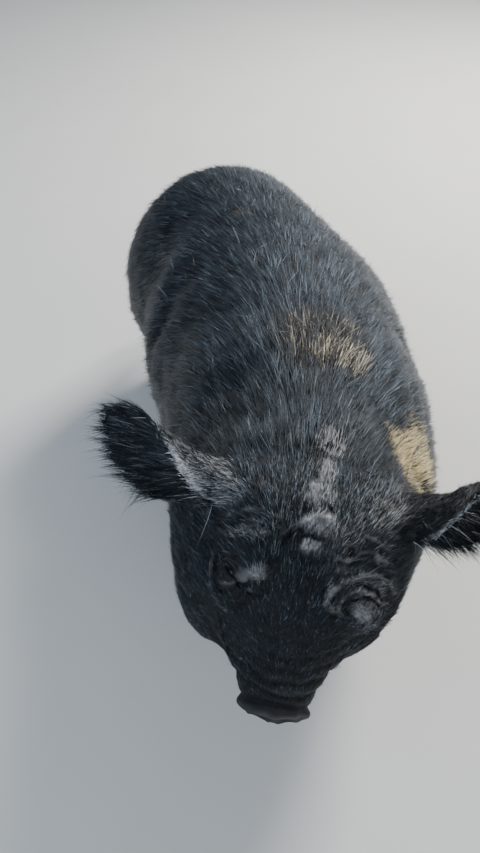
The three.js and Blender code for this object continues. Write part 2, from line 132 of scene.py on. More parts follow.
def frame_of_ear(side):
    """The ear's root and its axes as rows: along it, across it to the back edge, out of its back."""
    way = 1 if side == "left" else -1
    along = unit(EAR_ALONG[side])
    across = unit(np.cross(EAR_BACK, along))
    leaf = np.array([along, across, np.cross(along, across)])
    level = np.array(Matrix.Rotation(-HEAD_PITCH, 3, "X"))
    mirror = np.array([way, 1, 1])
    axes = (leaf @ level.T) * mirror
    return from_head(np.array(EAR_ROOT) * mirror), axes @ HEAD_AXES


EAR_FRAMES = {side: frame_of_ear(side) for side in EAR_ALONG}


def to_ear(points, side):
    """How far points are along an ear (0 to 1), their place across its leaf, from the front edge to the
    back one in metres, and the way that its back faces there."""
    root, axes = EAR_FRAMES[side]
    x, y, z = ((np.asarray(points) - root) @ axes.T).T
    along = np.clip((x + EAR_BURIED) / EAR_LENGTH, 0, 1)
    radius = EAR_ROLL[0] + (EAR_ROLL[1] - EAR_ROLL[0]) * along**2
    turned = np.clip((along - 0.16) / 0.7, 0, 1)
    twist = EAR_TWIST[0] + (EAR_TWIST[1] - EAR_TWIST[0]) * turned * (2 - turned)
    z = z - EAR_SWEEP * along**3
    y, z = y * np.cos(twist) - z * np.sin(twist), y * np.sin(twist) + z * np.cos(twist)
    angle = np.arctan2(y - 0.010 * along, z + radius - EAR_ROLL[0] * (1 - along))
    way = np.stack([np.zeros(len(x)), np.sin(angle + twist), np.cos(angle + twist)], 1)
    return along, angle * radius, way @ axes


# ------------------------------------------------------------------ small tools


def alone(piece):
    """Makes one object the only selected and the active one."""
    bpy.ops.object.select_all(action="DESELECT")
    piece.select_set(True)
    bpy.context.view_layer.objects.active = piece
    return piece


def apply(piece, kind, **settings):
    """Adds a modifier, sets it and applies it."""
    alone(piece)
    modifier = piece.modifiers.new("step", kind)
    for key, value in settings.items():
        setattr(modifier, key, value)
    bpy.ops.object.modifier_apply(modifier=modifier.name)


def read(data, key, width):
    """One setting of every item, as rows of the given width."""
    values = np.zeros(len(data) * width, np.float32)
    data.foreach_get(key, values)
    return values.reshape(-1, width).astype(float) if width > 1 else values


def places(piece):
    return read(piece.data.vertices, "co", 3)


def normals(piece):
    return read(piece.data.vertices, "normal", 3)


def put(piece, points):
    piece.data.vertices.foreach_set("co", np.asarray(points, np.float32).ravel())
    piece.data.update()


def smooth_step(low, high, value):
    t = np.clip((value - low) / (high - low), 0, 1)
    return t * t * (3 - 2 * t)


def hump(distance, width):
    return np.exp(-((distance / width) ** 2))


def ripple(points, size, seed, waves=7):
    """Even, repeatable unevenness between about -1 and 1, of roughly the given size."""
    rng = np.random.default_rng(seed)
    total = np.zeros(len(points))
    for _ in range(waves):
        way = unit(rng.normal(size=3)) * 2 * math.pi / (size * rng.uniform(0.7, 1.6))
        total += np.sin(points @ way + rng.uniform(0, 2 * math.pi))
    return total / math.sqrt(waves)


def keep(mesh, key, values):
    """Stores one value for each corner, for the materials to read."""
    mesh.attributes.new(key, "FLOAT", "POINT").data.foreach_set("value", values.astype(np.float32))


def joined_ends(piece):
    """The two corners of each edge."""
    ends = np.zeros(len(piece.data.edges) * 2, np.int32)
    piece.data.edges.foreach_get("vertices", ends)
    return ends.reshape(-1, 2)


def spread(values, ends, rounds, share=0.6):
    """Evens out values over neighbouring corners of a mesh."""
    values = np.array(values, float)
    flat = values.reshape(len(values), -1)
    count = np.bincount(ends.ravel(), minlength=len(flat))[:, None]
    for _ in range(rounds):
        total = np.stack(
            [
                np.bincount(ends[:, 0], flat[ends[:, 1], i], len(flat))
                + np.bincount(ends[:, 1], flat[ends[:, 0], i], len(flat))
                for i in range(flat.shape[1])
            ],
            1,
        )
        flat = flat + share * (total / np.maximum(count, 1) - flat)
    return flat.reshape(values.shape)


def evened(piece, rounds, held=None):
    """Takes out facets and keeps the volume. Held corners move less."""
    ends = joined_ends(piece)
    points = places(piece)
    loose = 1 if held is None else (1 - held)[:, None]
    for _ in range(rounds):
        points += loose * 0.5 * (spread(points, ends, 1, 1) - points)
        points -= loose * 0.52 * (spread(points, ends, 1, 1) - points)
    put(piece, points)


def choose(piece, mask):
    """Selects the corners under a mask, for an edit operator."""
    alone(piece)
    bpy.ops.object.mode_set(mode="EDIT")
    bpy.context.tool_settings.mesh_select_mode = (True, False, False)
    bpy.ops.mesh.select_all(action="DESELECT")
    bpy.ops.object.mode_set(mode="OBJECT")
    piece.data.vertices.foreach_set("select", mask)
    bpy.ops.object.mode_set(mode="EDIT")


def refine(piece, mask):
    """Halves the mesh where the mask is true."""
    choose(piece, mask)
    bpy.ops.mesh.subdivide(number_cuts=1, smoothness=0)
    bpy.ops.object.mode_set(mode="OBJECT")


def from_polyline(points, line):
    """Distance from points to a line through some corners."""
    line = np.asarray(line, float)
    best = np.full(len(points), 1e9)
    for a, b in zip(line[:-1], line[1:]):
        t = np.clip((points - a) @ (b - a) / ((b - a) @ (b - a)), 0, 1)
        best = np.minimum(best, np.linalg.norm(points - a - t[:, None] * (b - a), axis=1))
    return best


# ------------------------------------------------------------------ hide

# How far the hide lies inside the coat's outline, and the hairs on it: their length, how much they stand
# up, their thickness, and how many there are on a square metre compared with the trunk.
GROWTH = {
    "trunk": (0.0085, 0.042, 0.17, 0.00115, 1.0),
    "neck": (0.0085, 0.036, 0.20, 0.00105, 1.25),
    "head": (0.0050, 0.016, 0.26, 0.00078, 2.2),
    "jaw": (0.0045, 0.016, 0.30, 0.00080, 1.5),
    "snout": (0.0008, 0.004, 0.30, 0.00035, 0.05),
    "tail": (0.0040, 0.020, 0.20, 0.00085, 1.3),
    "ear_left": (0.0026, 0.013, 0.20, 0.00070, 2.4),
    "ear_right": (0.0026, 0.013, 0.20, 0.00070, 2.4),
    "leg": (0.0045, 0.024, 0.18, 0.00090, 1.2),
}
FIELDS = ("depth", "length", "lift", "thick", "crowd")
# Each ear's rim, pale fuzz with painted rim light on it: how pale and how wide it is, and how dusty the
# ear's back.
PALE_LIT_RIMS = {"left": (0.9, 0.007, 0.0), "right": (1.0, 0.022, 0.24)}
# Painted shade: how light the hair is, next to that of the trunk, darker on the ears, the left one most,
# and on the neck and head.
PAINTED_SHADE = {"ear_left": 0.2, "ear_right": 0.5, "neck": 0.76, "head": 0.86, "jaw": 0.8, "snout": 0.8}


def growth_of(node):
    return GROWTH["leg" if node.endswith("_leg") else node]


# The hollows of the solids on the head's left, filled before the hide is sculpted: middle in the head's
# frame, and radii.
HOLLOWS = [
    ((0.094, -0.026, 0.005), (0.027, 0.029, 0.021)),  # the socket's lower, outer part
    (EYE, (0.015, 0.015, 0.015)),
    ((0.019, -0.161, -0.036), (0.012, 0.011, 0.015)),  # the nostril
]


def filler(at, radii):
    """A closed ball that fills a hollow."""
    bpy.ops.mesh.primitive_uv_sphere_add(segments=20, ring_count=14, radius=1)
    ball = bpy.context.object
    put(ball, places(ball) * radii @ HEAD_AXES + from_head(at))
    return ball


def merge_doubles():
    """Joins the loose triangles of the object at hand."""
    bpy.ops.object.mode_set(mode="EDIT")
    bpy.ops.mesh.select_all(action="SELECT")
    bpy.ops.mesh.remove_doubles(threshold=1e-5)
    bpy.ops.object.mode_set(mode="OBJECT")


def gather_flesh():
    """All the flesh as one mesh, its sockets and nostrils filled, and which node each face came from."""
    parts = []
    owners = []
    for name in FLESH:
        part = bpy.data.objects.new(f"flesh_{name}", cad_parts[name].data.copy())
        bpy.context.scene.collection.objects.link(part)
        parts.append(part)
        owners += [name] * len(part.data.polygons)
    alone(parts[0])
    for part in parts:
        part.select_set(True)
    bpy.ops.object.join()
    whole = bpy.context.object
    tree = BVHTree.FromPolygons(places(whole).tolist(), [tuple(p.vertices) for p in whole.data.polygons])
    fillers = [filler(np.array(at) * [way, 1, 1], radii) for way in (1, -1) for at, radii in HOLLOWS]
    alone(whole)
    for ball in fillers:
        ball.select_set(True)
    bpy.ops.object.join()
    merge_doubles()
    return whole, tree, owners


def on_legs(owner):
    return np.char.endswith(owner.astype(str), "_leg")


def owner_of_each(points, tree, owners):
    """The node that lies nearest to each point."""
    return np.array([owners[tree.find_nearest(p)[2]] for p in points.tolist()])


# Each eye's opening in the head's frame: the way it faces, the way its slit runs, and in degrees round the
# eyeball half its length, how far it arches, and how far it opens above and below.
SLITS = {
    1: ((0.28, -0.25, 0.93), (0.98, 0.17, 0.0), 72, 17, 17, 13),
    -1: ((-0.54, -0.16, 0.82), (-0.76, 0.65, 0.0), 68, 8, 20, 13),
}
# The rings of folds beside each eye: degrees from its middle, height in millimetres, half-width in degrees.
EYE_RINGS = [(50, 3.2, 6), (60, -2.2, 3.5), (70, 3.2, 7), (82, -2.0, 4)]
LID_THICKNESS = 0.0024
SLIT_DEPTH = 0.003  # that the hide lies inside the eyeball where the lids are open


def round_eye(points, way):
    """Each point's direction and distance from an eye, and its angles from the middle of the slit."""
    eye = EYE * [way, 1, 1]
    out, along = unit(SLITS[way][0]), np.array(SLITS[way][1])
    along = unit(along - out * (along @ out))
    across = np.cross(out, along) * way
    off = points - eye
    distance = np.linalg.norm(off, axis=1)
    ways = off / distance[:, None]
    angle = np.degrees(np.arccos(np.clip(ways @ out, -1, 1)))
    u, v = ways @ along, ways @ across
    size = np.maximum(np.hypot(u, v), 1e-6)
    return eye, ways, distance, angle, angle * u / size, angle * v / size


def sculpt_eye(points, way):
    """Lids over the eyeball, the arched slit between them, and the folds beside the eye."""
    eye, ways, distance, angle, along, across = round_eye(points, way)
    half, arch, above, below = SLITS[way][2:]
    near = (distance < 0.06) & (angle < 115)
    sunk = 1 - smooth_step(34, 80, angle)
    lid = EYE_RADIUS + LID_THICKNESS + 0.0008 * ripple(points, 0.012, 31 + way) * (angle > 20)
    height = distance * (1 - sunk) + lid * sunk
    lateral = smooth_step(0.100, 0.124, points[:, 0] * way)
    crinkle = 1 + 0.3 * ripple(points, 0.02, 5 + way)
    for at, rise, width in EYE_RINGS:
        height += 0.001 * rise * crinkle * hump(angle - at, width) * lateral
    bow = np.clip(1 - (along / half) ** 2, 0, 1)
    off = across - arch * bow
    rim = np.abs(off) - np.where(off > 0, above, below) * bow**0.7
    height += 0.0040 * hump(off - above - 11, 11) * bow + 0.0016 * hump(off + below + 12, 11) * bow
    open_lids = (1 - smooth_step(-3.5, 1.5, rim)) * (np.abs(along) < half)
    height = height * (1 - open_lids) + (EYE_RADIUS - SLIT_DEPTH) * open_lids
    return np.where(near[:, None], eye + ways * height[:, None], points)


# Ridges and creases of the face as they lie seen square on to the forehead, in millimetres of the head's
# frame: height, half-width, and the line that each follows. Left is positive.
FACE_LINES = [
    # Round the right eye.
    (3.6, 3.2, [(-115, 18), (-116, 7), (-115, -6), (-114, -16), (-107, -27)]),
    (-3.0, 2.4, [(-110, 15), (-111, 4), (-109, -8), (-108, -18), (-102, -27)]),
    (-3.4, 2.6, [(-128, 25), (-119, 25), (-109, 20)]),
    (2.6, 2.2, [(-108, 19), (-101, 19), (-94, 20), (-86, 25)]),
    (3.0, 3.0, [(-108, 7), (-104, 13), (-97, 16), (-89, 14), (-81, 6)]),
    (-2.4, 1.8, [(-107, 10), (-102, 17), (-92, 18), (-84, 13)]),
    (-1.2, 1.6, [(-68, 11), (-65, 1), (-65, -9)]),
    (-5.0, 2.4, [(-80, -14), (-74, -15), (-66, -12), (-58, -8), (-50, -8)]),
    (-4.2, 2.4, [(-71, -20), (-63, -24), (-54, -26), (-46, -24)]),
    (-3.4, 2.4, [(-106, -28), (-93, -26), (-81, -20)]),
    (-0.7, 1.6, [(-100, -10), (-92, -11), (-85, -11)]),
    (-0.7, 1.6, [(-104, -19), (-93, -20), (-85, -17)]),
    # The brow over it.
    (-3.0, 2.4, [(-113, 56), (-93, 60), (-74, 61), (-52, 61)]),
    (3.0, 3.6, [(-108, 48), (-92, 52), (-72, 53), (-55, 53)]),
    (3.2, 6, [(-106, 70), (-90, 78), (-70, 78), (-52, 74)]),
    (-2.8, 3, [(-103, 36), (-86, 41), (-67, 41), (-52, 35)]),
    (-2.4, 2.4, [(-62, 37), (-53, 29), (-46, 19)]),
    # The frown between the brows.
    (2.8, 4, [(-39, 57), (-26, 69), (-13, 78), (1, 85), (16, 83)]),
    (-3.0, 2.6, [(-39, 46), (-29, 56), (-16, 61), (-3, 61)]),
    (-2.8, 2.4, [(-3, 61), (12, 60), (24, 54)]),
    (-2.2, 2.4, [(-30, 88), (-11, 97), (11, 97), (28, 92)]),
    (-1.4, 2.6, [(-18, 30), (-6, 26), (8, 26), (20, 31)]),
    # Round the left eye.
    (5.0, 3.4, [
        (31, -17), (33, -6), (39, 3), (48, 12), (60, 19),
        (73, 26), (85, 29), (98, 29), (115, 23), (129, 14),
    ]),
    (-4.2, 2.2, [(40, -16), (43, -4), (50, 5), (59, 10), (71, 14), (85, 12), (101, 9), (113, 1)]),
    (2.8, 3.0, [(50, -18), (54, -6), (63, 2), (76, 7), (92, 6), (105, -1)]),
    (-3.8, 2.2, [(98, -2), (109, -8), (116, -18), (125, -27)]),
    (2.8, 2.6, [(115, -3), (123, -14), (133, -26)]),
    (-2.0, 2.2, [(119, 4), (131, -9), (139, -23)]),
    (-3.4, 2.2, [(57, -19), (66, -25), (82, -34)]),
    (-3.4, 2.4, [(34, -31), (46, -32), (62, -33)]),
    (-2.6, 2.6, [(25, -15), (26, -2), (32, 9), (43, 18), (55, 25)]),
    # The brow over it.
    (2.8, 4, [(39, 25), (52, 40), (65, 53), (81, 55), (102, 47)]),
    (-2.4, 2.6, [(37, 34), (51, 32), (68, 43), (89, 39), (112, 31)]),
    (-2.6, 3, [(33, 51), (39, 61), (50, 69), (67, 67)]),
    (2.4, 4, [(60, 72), (84, 70), (104, 60)]),
]
# Bumps and pits in the same view: height, middle and radii.
FACE_BUMPS = [
    (4.2, (-75, -2), (9, 12)),
    (5.2, (-58, 4), (13, 12)),
    (3.6, (-59, -16), (13, 5)),
    (3.2, (-94, -12), (12, 12)),
    (5.2, (-3, 48), (13, 9)),
    (4.6, (5, 77), (17, 11)),
    (2.8, (-19, 70), (11, 8)),
    (4.8, (84, -20), (15, 13)),
    (3.2, (47, -24), (12, 7)),
    (-5.5, (50, 49), (6, 5)),
    (3.6, (40, 37), (9, 6)),
    (2.8, (92, 44), (11, 9)),
    (2.6, (-52, 24), (8, 6)),
    (3.2, (-6, 111), (15, 15)),
    (2.8, (4, 182), (16, 24)),
]
# Wrinkles across the top of the muzzle, closer together towards the disc: place, depth, half-width.
MUZZLE_WRINKLES = [(-139, 2.6, 3.2), (-124, 2.2, 3.2), (-109, 1.7, 3.4), (-92, 1.3, 3.6), (-73, 1.0, 4)]
# Folds of the cheeks seen from the side: height, half-width, and the line towards the tail and upwards.
CHEEK_FOLDS = [
    (-3.0, 5, [(-60, -86), (-44, -78), (-36, -60), (-38, -44)]),
    (-3.2, 6, [(-30, -70), (-6, -92), (8, -124), (4, -150)]),
    (2.6, 9, [(-12, -66), (12, -90), (26, -122), (22, -150)]),
    (-2.6, 6, [(8, -44), (34, -60), (52, -90), (56, -130)]),
    (-2.4, 5, [(-46, -40), (-30, -34), (-10, -36), (10, -42)]),
]
# The nose disc and the nostrils, in millimetres of the head's frame.
DISC_MIDDLE, DISC_RADII = -42, (49, 40)
NOSTRIL_OUT, NOSTRIL_UP, NOSTRIL_RADII, NOSTRIL_DEPTH = 19, -37, (9.5, 12), 19


def face_lines(points, facing, mm):
    """The folds round the eyes and of the brow, and the crinkles between them."""
    seen = smooth_step(-0.05, 0.25, facing[:, 2]) * smooth_step(-75, -50, mm[:, 2])
    wobble = [ripple(points, 0.05, s) * 0.8 + ripple(points, 0.013, s + 2) * 0.55 for s in (11, 12)]
    wobble = np.stack(wobble, 1)
    flat = mm[:, :2] + wobble
    rise = np.zeros(len(mm))
    for height, width, line in FACE_LINES:
        rise += height * hump(from_polyline(flat, line), width) * seen
    for height, at, radii in FACE_BUMPS:
        rise += height * hump(np.linalg.norm((flat - at) / radii, axis=1), 1) * seen
    rise *= 1 + 0.30 * ripple(points, 0.017, 17)
    near_eyes = hump(np.linalg.norm(np.abs(mm[:, :2]) - [84, 4], axis=1), 42) * seen
    crinkles = 0.12 * ripple(points * [1, 1.6, 1], 0.008, 18, 11) + 0.25 * ripple(points, 0.014, 19, 9)
    return rise + near_eyes * crinkles, seen, wobble


def muzzle_lines(points, mm):
    """The wrinkles across the muzzle, the disc's raised rim with the step behind it, and the mouth."""
    rise = np.zeros(len(mm))
    upper = smooth_step(-78, -60, mm[:, 2])
    for y, deep, width in MUZZLE_WRINKLES:
        bow = y + 0.0048 * mm[:, 0] ** 2 + 2.2 * ripple(points, 0.04, -y)
        rise -= deep * hump(mm[:, 1] - bow, width) * upper * smooth_step(-158, -150, mm[:, 1])
        rise += 0.6 * deep * hump(mm[:, 1] - bow - 7, 5) * upper
    disc = np.hypot(mm[:, 0] / DISC_RADII[0], (mm[:, 2] - DISC_MIDDLE) / DISC_RADII[1])
    front = smooth_step(-150, -160, mm[:, 1])
    rise += 2.2 * hump(disc - 0.97, 0.12) * front
    rise -= 3.2 * hump(mm[:, 1] + 150, 3.5) * smooth_step(-86, -74, mm[:, 2])
    above_lips = mm[:, 2] - (-84 + 0.007 * mm[:, 0] ** 2 - 0.07 * (mm[:, 1] + 66))
    mouth = smooth_step(-46, -66, mm[:, 1]) * smooth_step(-160, -146, mm[:, 1])
    lips = -4.6 * hump(above_lips, 2.6) + 1.8 * hump(above_lips - 7, 4) + 1.6 * hump(above_lips + 8, 5)
    return rise + lips * mouth, front


def sculpt_face(points, facing):
    """The folds of the face, the muzzle and the cheeks, and the nostrils. Also gives the folds' heights,
    for the hide's painted highlights and shade, with painted shade added in the nostrils and round the eye
    slits, and weaker on the face's right side, which is in shade."""
    mm = points * 1000
    rise, seen, wobble = face_lines(points, facing, mm)
    muzzle, front = muzzle_lines(points, mm)
    rise += muzzle
    beside = smooth_step(0.2, 0.6, np.abs(facing[:, 0]))
    for height, width, line in CHEEK_FOLDS:
        rise += height * hump(from_polyline(mm[:, 1:] + wobble, line), width) * beside
    # Painted shade on the face's right side: the folds' painted highlights and shade are weaker there.
    folds = rise * (1 - 0.4 * smooth_step(10, 50, -mm[:, 0]))
    moved = points + facing * (rise / 1000)[:, None]
    for way in (1, -1):
        across = (mm[:, 0] - way * NOSTRIL_OUT) / NOSTRIL_RADII[0]
        hole = np.hypot(across, (mm[:, 2] - NOSTRIL_UP - 0.18 * np.abs(mm[:, 0])) / NOSTRIL_RADII[1])
        inward = (1 - smooth_step(0.55, 1.25, hole)) * front
        moved[:, 1] += NOSTRIL_DEPTH / 1000 * inward
        moved[:, 0] += way * 0.003 * inward
        moved[:, 1] -= 0.0016 * hump(hole - 1.45, 0.28) * front
        # Painted shade in the nostrils.
        folds -= 6 * (1 - smooth_step(0.5, 1.0, hole)) * front
        # Painted shade round each eye's slit, deeper round the right eye.
        angle = round_eye(points, way)[3]
        folds -= (2.4 if way < 0 else 0.8) * (1 - smooth_step(16, 36, angle)) * seen
    return moved, folds


# Folds of the body on the straightened pig, in millimetres: height, half-width, side, and the line along
# the body and upwards that each follows.
BODY_LINES = [
    (-13, 26, -1, [(286, 420), (312, 478), (352, 520), (404, 545)]),
    (-8, 20, -1, [(250, 300), (268, 360), (286, 420)]),
    (7, 40, -1, [(352, 430), (382, 490), (440, 530)]),
    (-8, 22, 1, [(452, 250), (462, 320), (470, 400), (480, 460)]),
    (-8, 18, -1, [(455, 200), (448, 240), (430, 280)]),
    (-9, 18, 1, [(455, 170), (448, 210), (440, 250)]),
    (-7, 18, 1, [(120, 180), (112, 240), (120, 300)]),
    (-7, 18, -1, [(120, 180), (112, 240), (120, 300)]),
    (-6, 14, 1, [(-150, 240), (-165, 320), (-160, 400), (-140, 470)]),
    (-7, 14, -1, [(-150, 240), (-168, 320), (-166, 400), (-146, 480)]),
    (-5, 13, 1, [(-105, 230), (-118, 310), (-112, 390)]),
    (-6, 13, -1, [(-105, 230), (-120, 310), (-116, 390), (-100, 440)]),
    (5, 24, -1, [(-128, 250), (-142, 330), (-138, 410)]),
    (5, 24, 1, [(-128, 250), (-142, 330), (-138, 410)]),
]
FOOT_FOLDS = (78, 160)  # millimetres above the ground
EAR_RIDGES = (-0.045, -0.022, 0.004, 0.030)  # places across an ear's leaf, in metres


def sculpt_body(points, facing, held):
    """The folds of the flanks, elbows and neck, the shoulder blades, the spine's groove, the folds over the
    feet, and the unevenness of fat."""
    straight = to_body(points) * 1000
    x, y, z = straight.T
    rise = np.zeros(len(points))
    for height, width, way, line in BODY_LINES:
        rise += height * hump(from_polyline(straight[:, 1:], line), width) * smooth_step(-30, 60, x * way)
    rise += 4.5 * hump(np.hypot(np.abs(x) - 90, y - 40), 70) * (z > 430)
    rise -= 4.0 * hump(x, 14) * smooth_step(120, 220, y) * (z > 400)
    rise += 2.0 * ripple(points, 0.16, 3) + 1.1 * ripple(points, 0.06, 4)
    for height in FOOT_FOLDS:
        rise -= 1.6 * hump(z - height, 7)
    rise += 1.0 * ripple(points, 0.025, 6) * smooth_step(240, 120, z)
    return points + facing * (rise * (1 - held) / 1000)[:, None]


def sculpt_ears(points, facing, on_ear):
    """Ridges of gristle inside each ear."""
    points = points.copy()
    for side in EAR_ALONG:
        along, across, back = to_ear(points, side)
        inside = smooth_step(0.0, 0.5, -(facing * back).sum(1)) * on_ear[side]
        ridges = sum(hump(across - place, 0.005) for place in EAR_RIDGES)
        rise = 1.4 * ridges * smooth_step(0.2, 0.4, along) * smooth_step(0.95, 0.6, along) * inside
        rise += 0.5 * ripple(points, 0.03, 9) * on_ear[side]
        points += facing * (rise / 1000)[:, None]
    return points


def soften(whole, owner, ends):
    """Rounds off the facets of the trunk and neck, and less so those of the legs and head."""
    soft = np.select([owner == "trunk", owner == "neck", on_legs(owner)], [1, 0.6, 0.25])
    soft = spread(np.maximum(soft, 0.12 * (owner == "head")), ends, 60)
    soft = np.round(soft * smooth_step(0.06, 0.16, places(whole)[:, 2]) * 10).astype(int)
    group = whole.vertex_groups.new(name="soft")
    for level in range(1, 11):
        group.add(np.where(soft == level)[0].tolist(), level / 10, "REPLACE")
    apply(whole, "SMOOTH", factor=0.5, iterations=150, vertex_group="soft")
    whole.vertex_groups.clear()


def seated(points):
    """Brings the end of each leg's hide down over the tops of its claws."""
    points = points.copy()
    for leg in LEGS:
        low, high = (np.array(corner[:2]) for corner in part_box(f"{leg}_leg"))
        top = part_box(f"{leg}_claw_inner")[1][2]
        around = np.all((points[:, :2] > low - 0.01) & (points[:, :2] < high + 0.01), 1)
        around &= points[:, 2] < 0.12
        drop = points[around, 2].min() - (top - 0.003)
        points[around, 2] -= drop * smooth_step(0.11, 0.05, points[around, 2])
    return points


MOST_TRIANGLES = 192000  # of the hide
SKIN = {}  # what the maker of the hide leaves for those of the coat


def lie_of_coat(points, facing, owner):
    """The way that the hairs point, before it is laid along the hide."""
    straight = to_body(points)
    around = straight[:, 1] / BEND_RADIUS
    back = np.stack([-np.sin(around), np.cos(around), np.zeros(len(around))], 1)
    aside = np.stack([np.cos(around), np.sin(around), np.zeros(len(around))], 1)
    down = np.array([0.0, 0.0, -1.0])
    steep = smooth_step(0.6, 1.0, np.linalg.norm(facing[:, :2], axis=1))
    lean = 1.3 * np.clip(straight[:, 0] / 0.20, -1.5, 1.5)
    way = back + aside * lean[:, None] + down * (0.9 * steep)[:, None]
    left, rear, up = HEAD_AXES
    local = to_head(points)
    on_head = np.isin(owner, ("head", "jaw", "snout"))
    side = np.sign(local[:, 0:1]) * smooth_step(0.01, 0.09, np.abs(local[:, 0:1]))
    face = rear + left * side * 0.35 - up * 0.75 * np.abs(side)
    way[on_head] = face[on_head]
    legs = on_legs(owner)
    way[legs] = (back * 0.45 + down)[legs]
    way[owner == "tail"] = down
    for name in EAR_ALONG:
        on_ear = owner == f"ear_{name}"
        _, across, out = to_ear(points, name)
        length = EAR_FRAMES[name][1][0]
        fan = length + np.cross(out, length) * (across * -7.0)[:, None]
        way[on_ear] = fan[on_ear]
    return way


# The long hair inside each ear: how much it turns towards the nose, its greatest length, how much shorter
# it is at the tip, how pale it is.
FRINGES = {"left": (-0.85, 0.066, 0.75, 0.12), "right": (-0.30, 0.072, 0.50, 0.06)}


def half_width_of_ear(along):
    return EAR_WIDTH / 2 * (1.04 - 0.34 * along**2)


def paleness(points, facing, owner):
    """Pale fuzzy hair with painted rim light along the front rims of the ears, and dust on their backs."""
    pale = np.zeros(len(points))
    for side, (strength, wide, dusty) in PALE_LIT_RIMS.items():
        along, across, back = to_ear(points, side)
        from_rim = across + half_width_of_ear(along)
        outer = smooth_step(-0.3, 0.3, (facing * back).sum(1))
        reach = wide * (0.45 + 0.55 * outer) * (1.1 - 0.7 * along)
        rim = strength * smooth_step(reach, reach * 0.5, from_rim) * smooth_step(0.06, 0.16, along)
        rim *= smooth_step(1.05, 0.88, along)
        dust = dusty * outer * smooth_step(0.8, 0.45, along)
        pale = np.maximum(pale, np.maximum(rim, dust) * (owner == f"ear_{side}"))
    return pale


def laid(way, facing):
    """A way laid flat along the surface."""
    return unit(way - facing * (way * facing).sum(1, keepdims=True))


def rounded_flesh(whole, tree, owners, grain):
    """One even surface over all the flesh, which moves less where the outline is thin or fine."""
    apply(whole, "DISPLACE", strength=0.0006, mid_level=0)
    whole.data.remesh_voxel_size = grain
    bpy.ops.object.voxel_remesh()
    points = places(whole)
    owner = owner_of_each(points, tree, owners)
    ends = joined_ends(whole)
    held = np.isin(owner, ("ear_left", "ear_right", "snout", "tail")).astype(float)
    held = np.maximum(held * 0.55, on_legs(owner) * 0.35)
    held = spread(np.where(np.isin(owner, ("head", "jaw")), np.maximum(held, 0.25), held), ends, 6)
    held = np.maximum(held, 0.9 * smooth_step(0.09, 0.05, points[:, 2]))
    evened(whole, 40, held)
    soften(whole, owner, ends)
    apply(whole, "SMOOTH", factor=0.5, iterations=6)
    return owner, ends


def sink(whole, owner, ends):
    """Draws the surface in by the coat's depth."""
    points = places(whole)
    table = np.array([growth_of(name)[0] for name in owner])
    depth = spread(table, ends, 14) * (0.25 + 0.75 * smooth_step(0.04, 0.10, points[:, 2]))
    put(whole, seated(points - normals(whole) * depth[:, None]))


def refine_face(whole, owner):
    """Makes the mesh finer on the face, and finest round the eyes and on the nose."""
    local = to_head(places(whole))
    face = (local[:, 1] < 0.125) & (local[:, 2] > -0.19) & (np.abs(local[:, 0]) < 0.16)
    refine(whole, face & ~np.isin(owner, ("neck", "ear_left", "ear_right")))
    local = to_head(places(whole))
    at_eye = np.linalg.norm(np.abs(local) - [0.088, -0.006, 0.010], axis=1) < 0.040
    at_nose = (local[:, 1] < -0.148) & (np.abs(local[:, 0]) < 0.06)
    refine(whole, at_eye | at_nose)


def sculpt(whole, owner):
    """Shapes the body, the ears, the eyes and the face, and keeps the heights of the face's folds with
    painted shade added, for the hide's painted highlights and shade.
    """
    ends = joined_ends(whole)
    facing = normals(whole)
    on_face = spread(np.isin(owner, ("head", "jaw", "snout")).astype(float), ends, 6)
    on_ear = {side: spread((owner == f"ear_{side}").astype(float), ends, 4) for side in EAR_ALONG}
    held = np.clip(on_face + on_ear["left"] + on_ear["right"], 0, 1)
    points = sculpt_body(places(whole), facing, held)
    local = to_head(sculpt_ears(points, facing, on_ear))
    for way in (1, -1):
        local = sculpt_eye(local, way)
    put(whole, from_head(local))
    apply(whole, "SMOOTH", factor=0.3, iterations=1)
    local = to_head(places(whole))
    shaped, folds = sculpt_face(local, normals(whole) @ HEAD_AXES.T)
    share = smooth_step(0.0, 0.4, on_face)
    put(whole, from_head(local + (shaped - local) * share[:, None]))
    nose = whole.vertex_groups.new(name="nose")
    nose.add(np.where((local[:, 1] < -0.152) & (np.abs(local[:, 0]) < 0.06))[0].tolist(), 1.0, "REPLACE")
    apply(whole, "SMOOTH", factor=0.5, iterations=6, vertex_group="nose")
    whole.vertex_groups.clear()
    keep(whole.data, "fold_light_and_shade", folds * share)


def thin_and_unwrap(whole, owner, thinning):
    """Thins the trunk's mesh, because its coat hides it, then all of it a little, and unwraps it."""
    straight = to_body(places(whole))
    coarse = (straight[:, 1] > -0.115) & (straight[:, 2] > 0.14)
    choose(whole, coarse & ~np.isin(owner, ("ear_left", "ear_right")))
    bpy.ops.mesh.decimate(ratio=thinning)
    bpy.ops.object.mode_set(mode="OBJECT")
    whole.data.calc_loop_triangles()
    apply(whole, "DECIMATE", ratio=MOST_TRIANGLES / len(whole.data.loop_triangles))
    bpy.ops.object.mode_set(mode="EDIT")
    bpy.ops.mesh.select_all(action="SELECT")
    bpy.ops.uv.smart_project(angle_limit=math.radians(70), island_margin=0.002)
    bpy.ops.mesh.normals_make_consistent(inside=False)
    bpy.ops.object.mode_set(mode="OBJECT")
    bpy.ops.object.shade_smooth()
    whole.data.uv_layers[0].name = "OFBake"


def make_hide(settings):
    """The hide, from the solids of the flesh to its unwrap."""
    whole, tree, owners = gather_flesh()
    whole.name = "hide"
    whole.data.name = "hide"
    owner, ends = rounded_flesh(whole, tree, owners, settings.grain)
    sink(whole, owner, ends)
    refine_face(whole, owner)
    owner = owner_of_each(places(whole), tree, owners)
    sculpt(whole, owner)
    thin_and_unwrap(whole, owner, settings.thinning)
    finish_skin_fields(whole, tree, owners)
    return whole


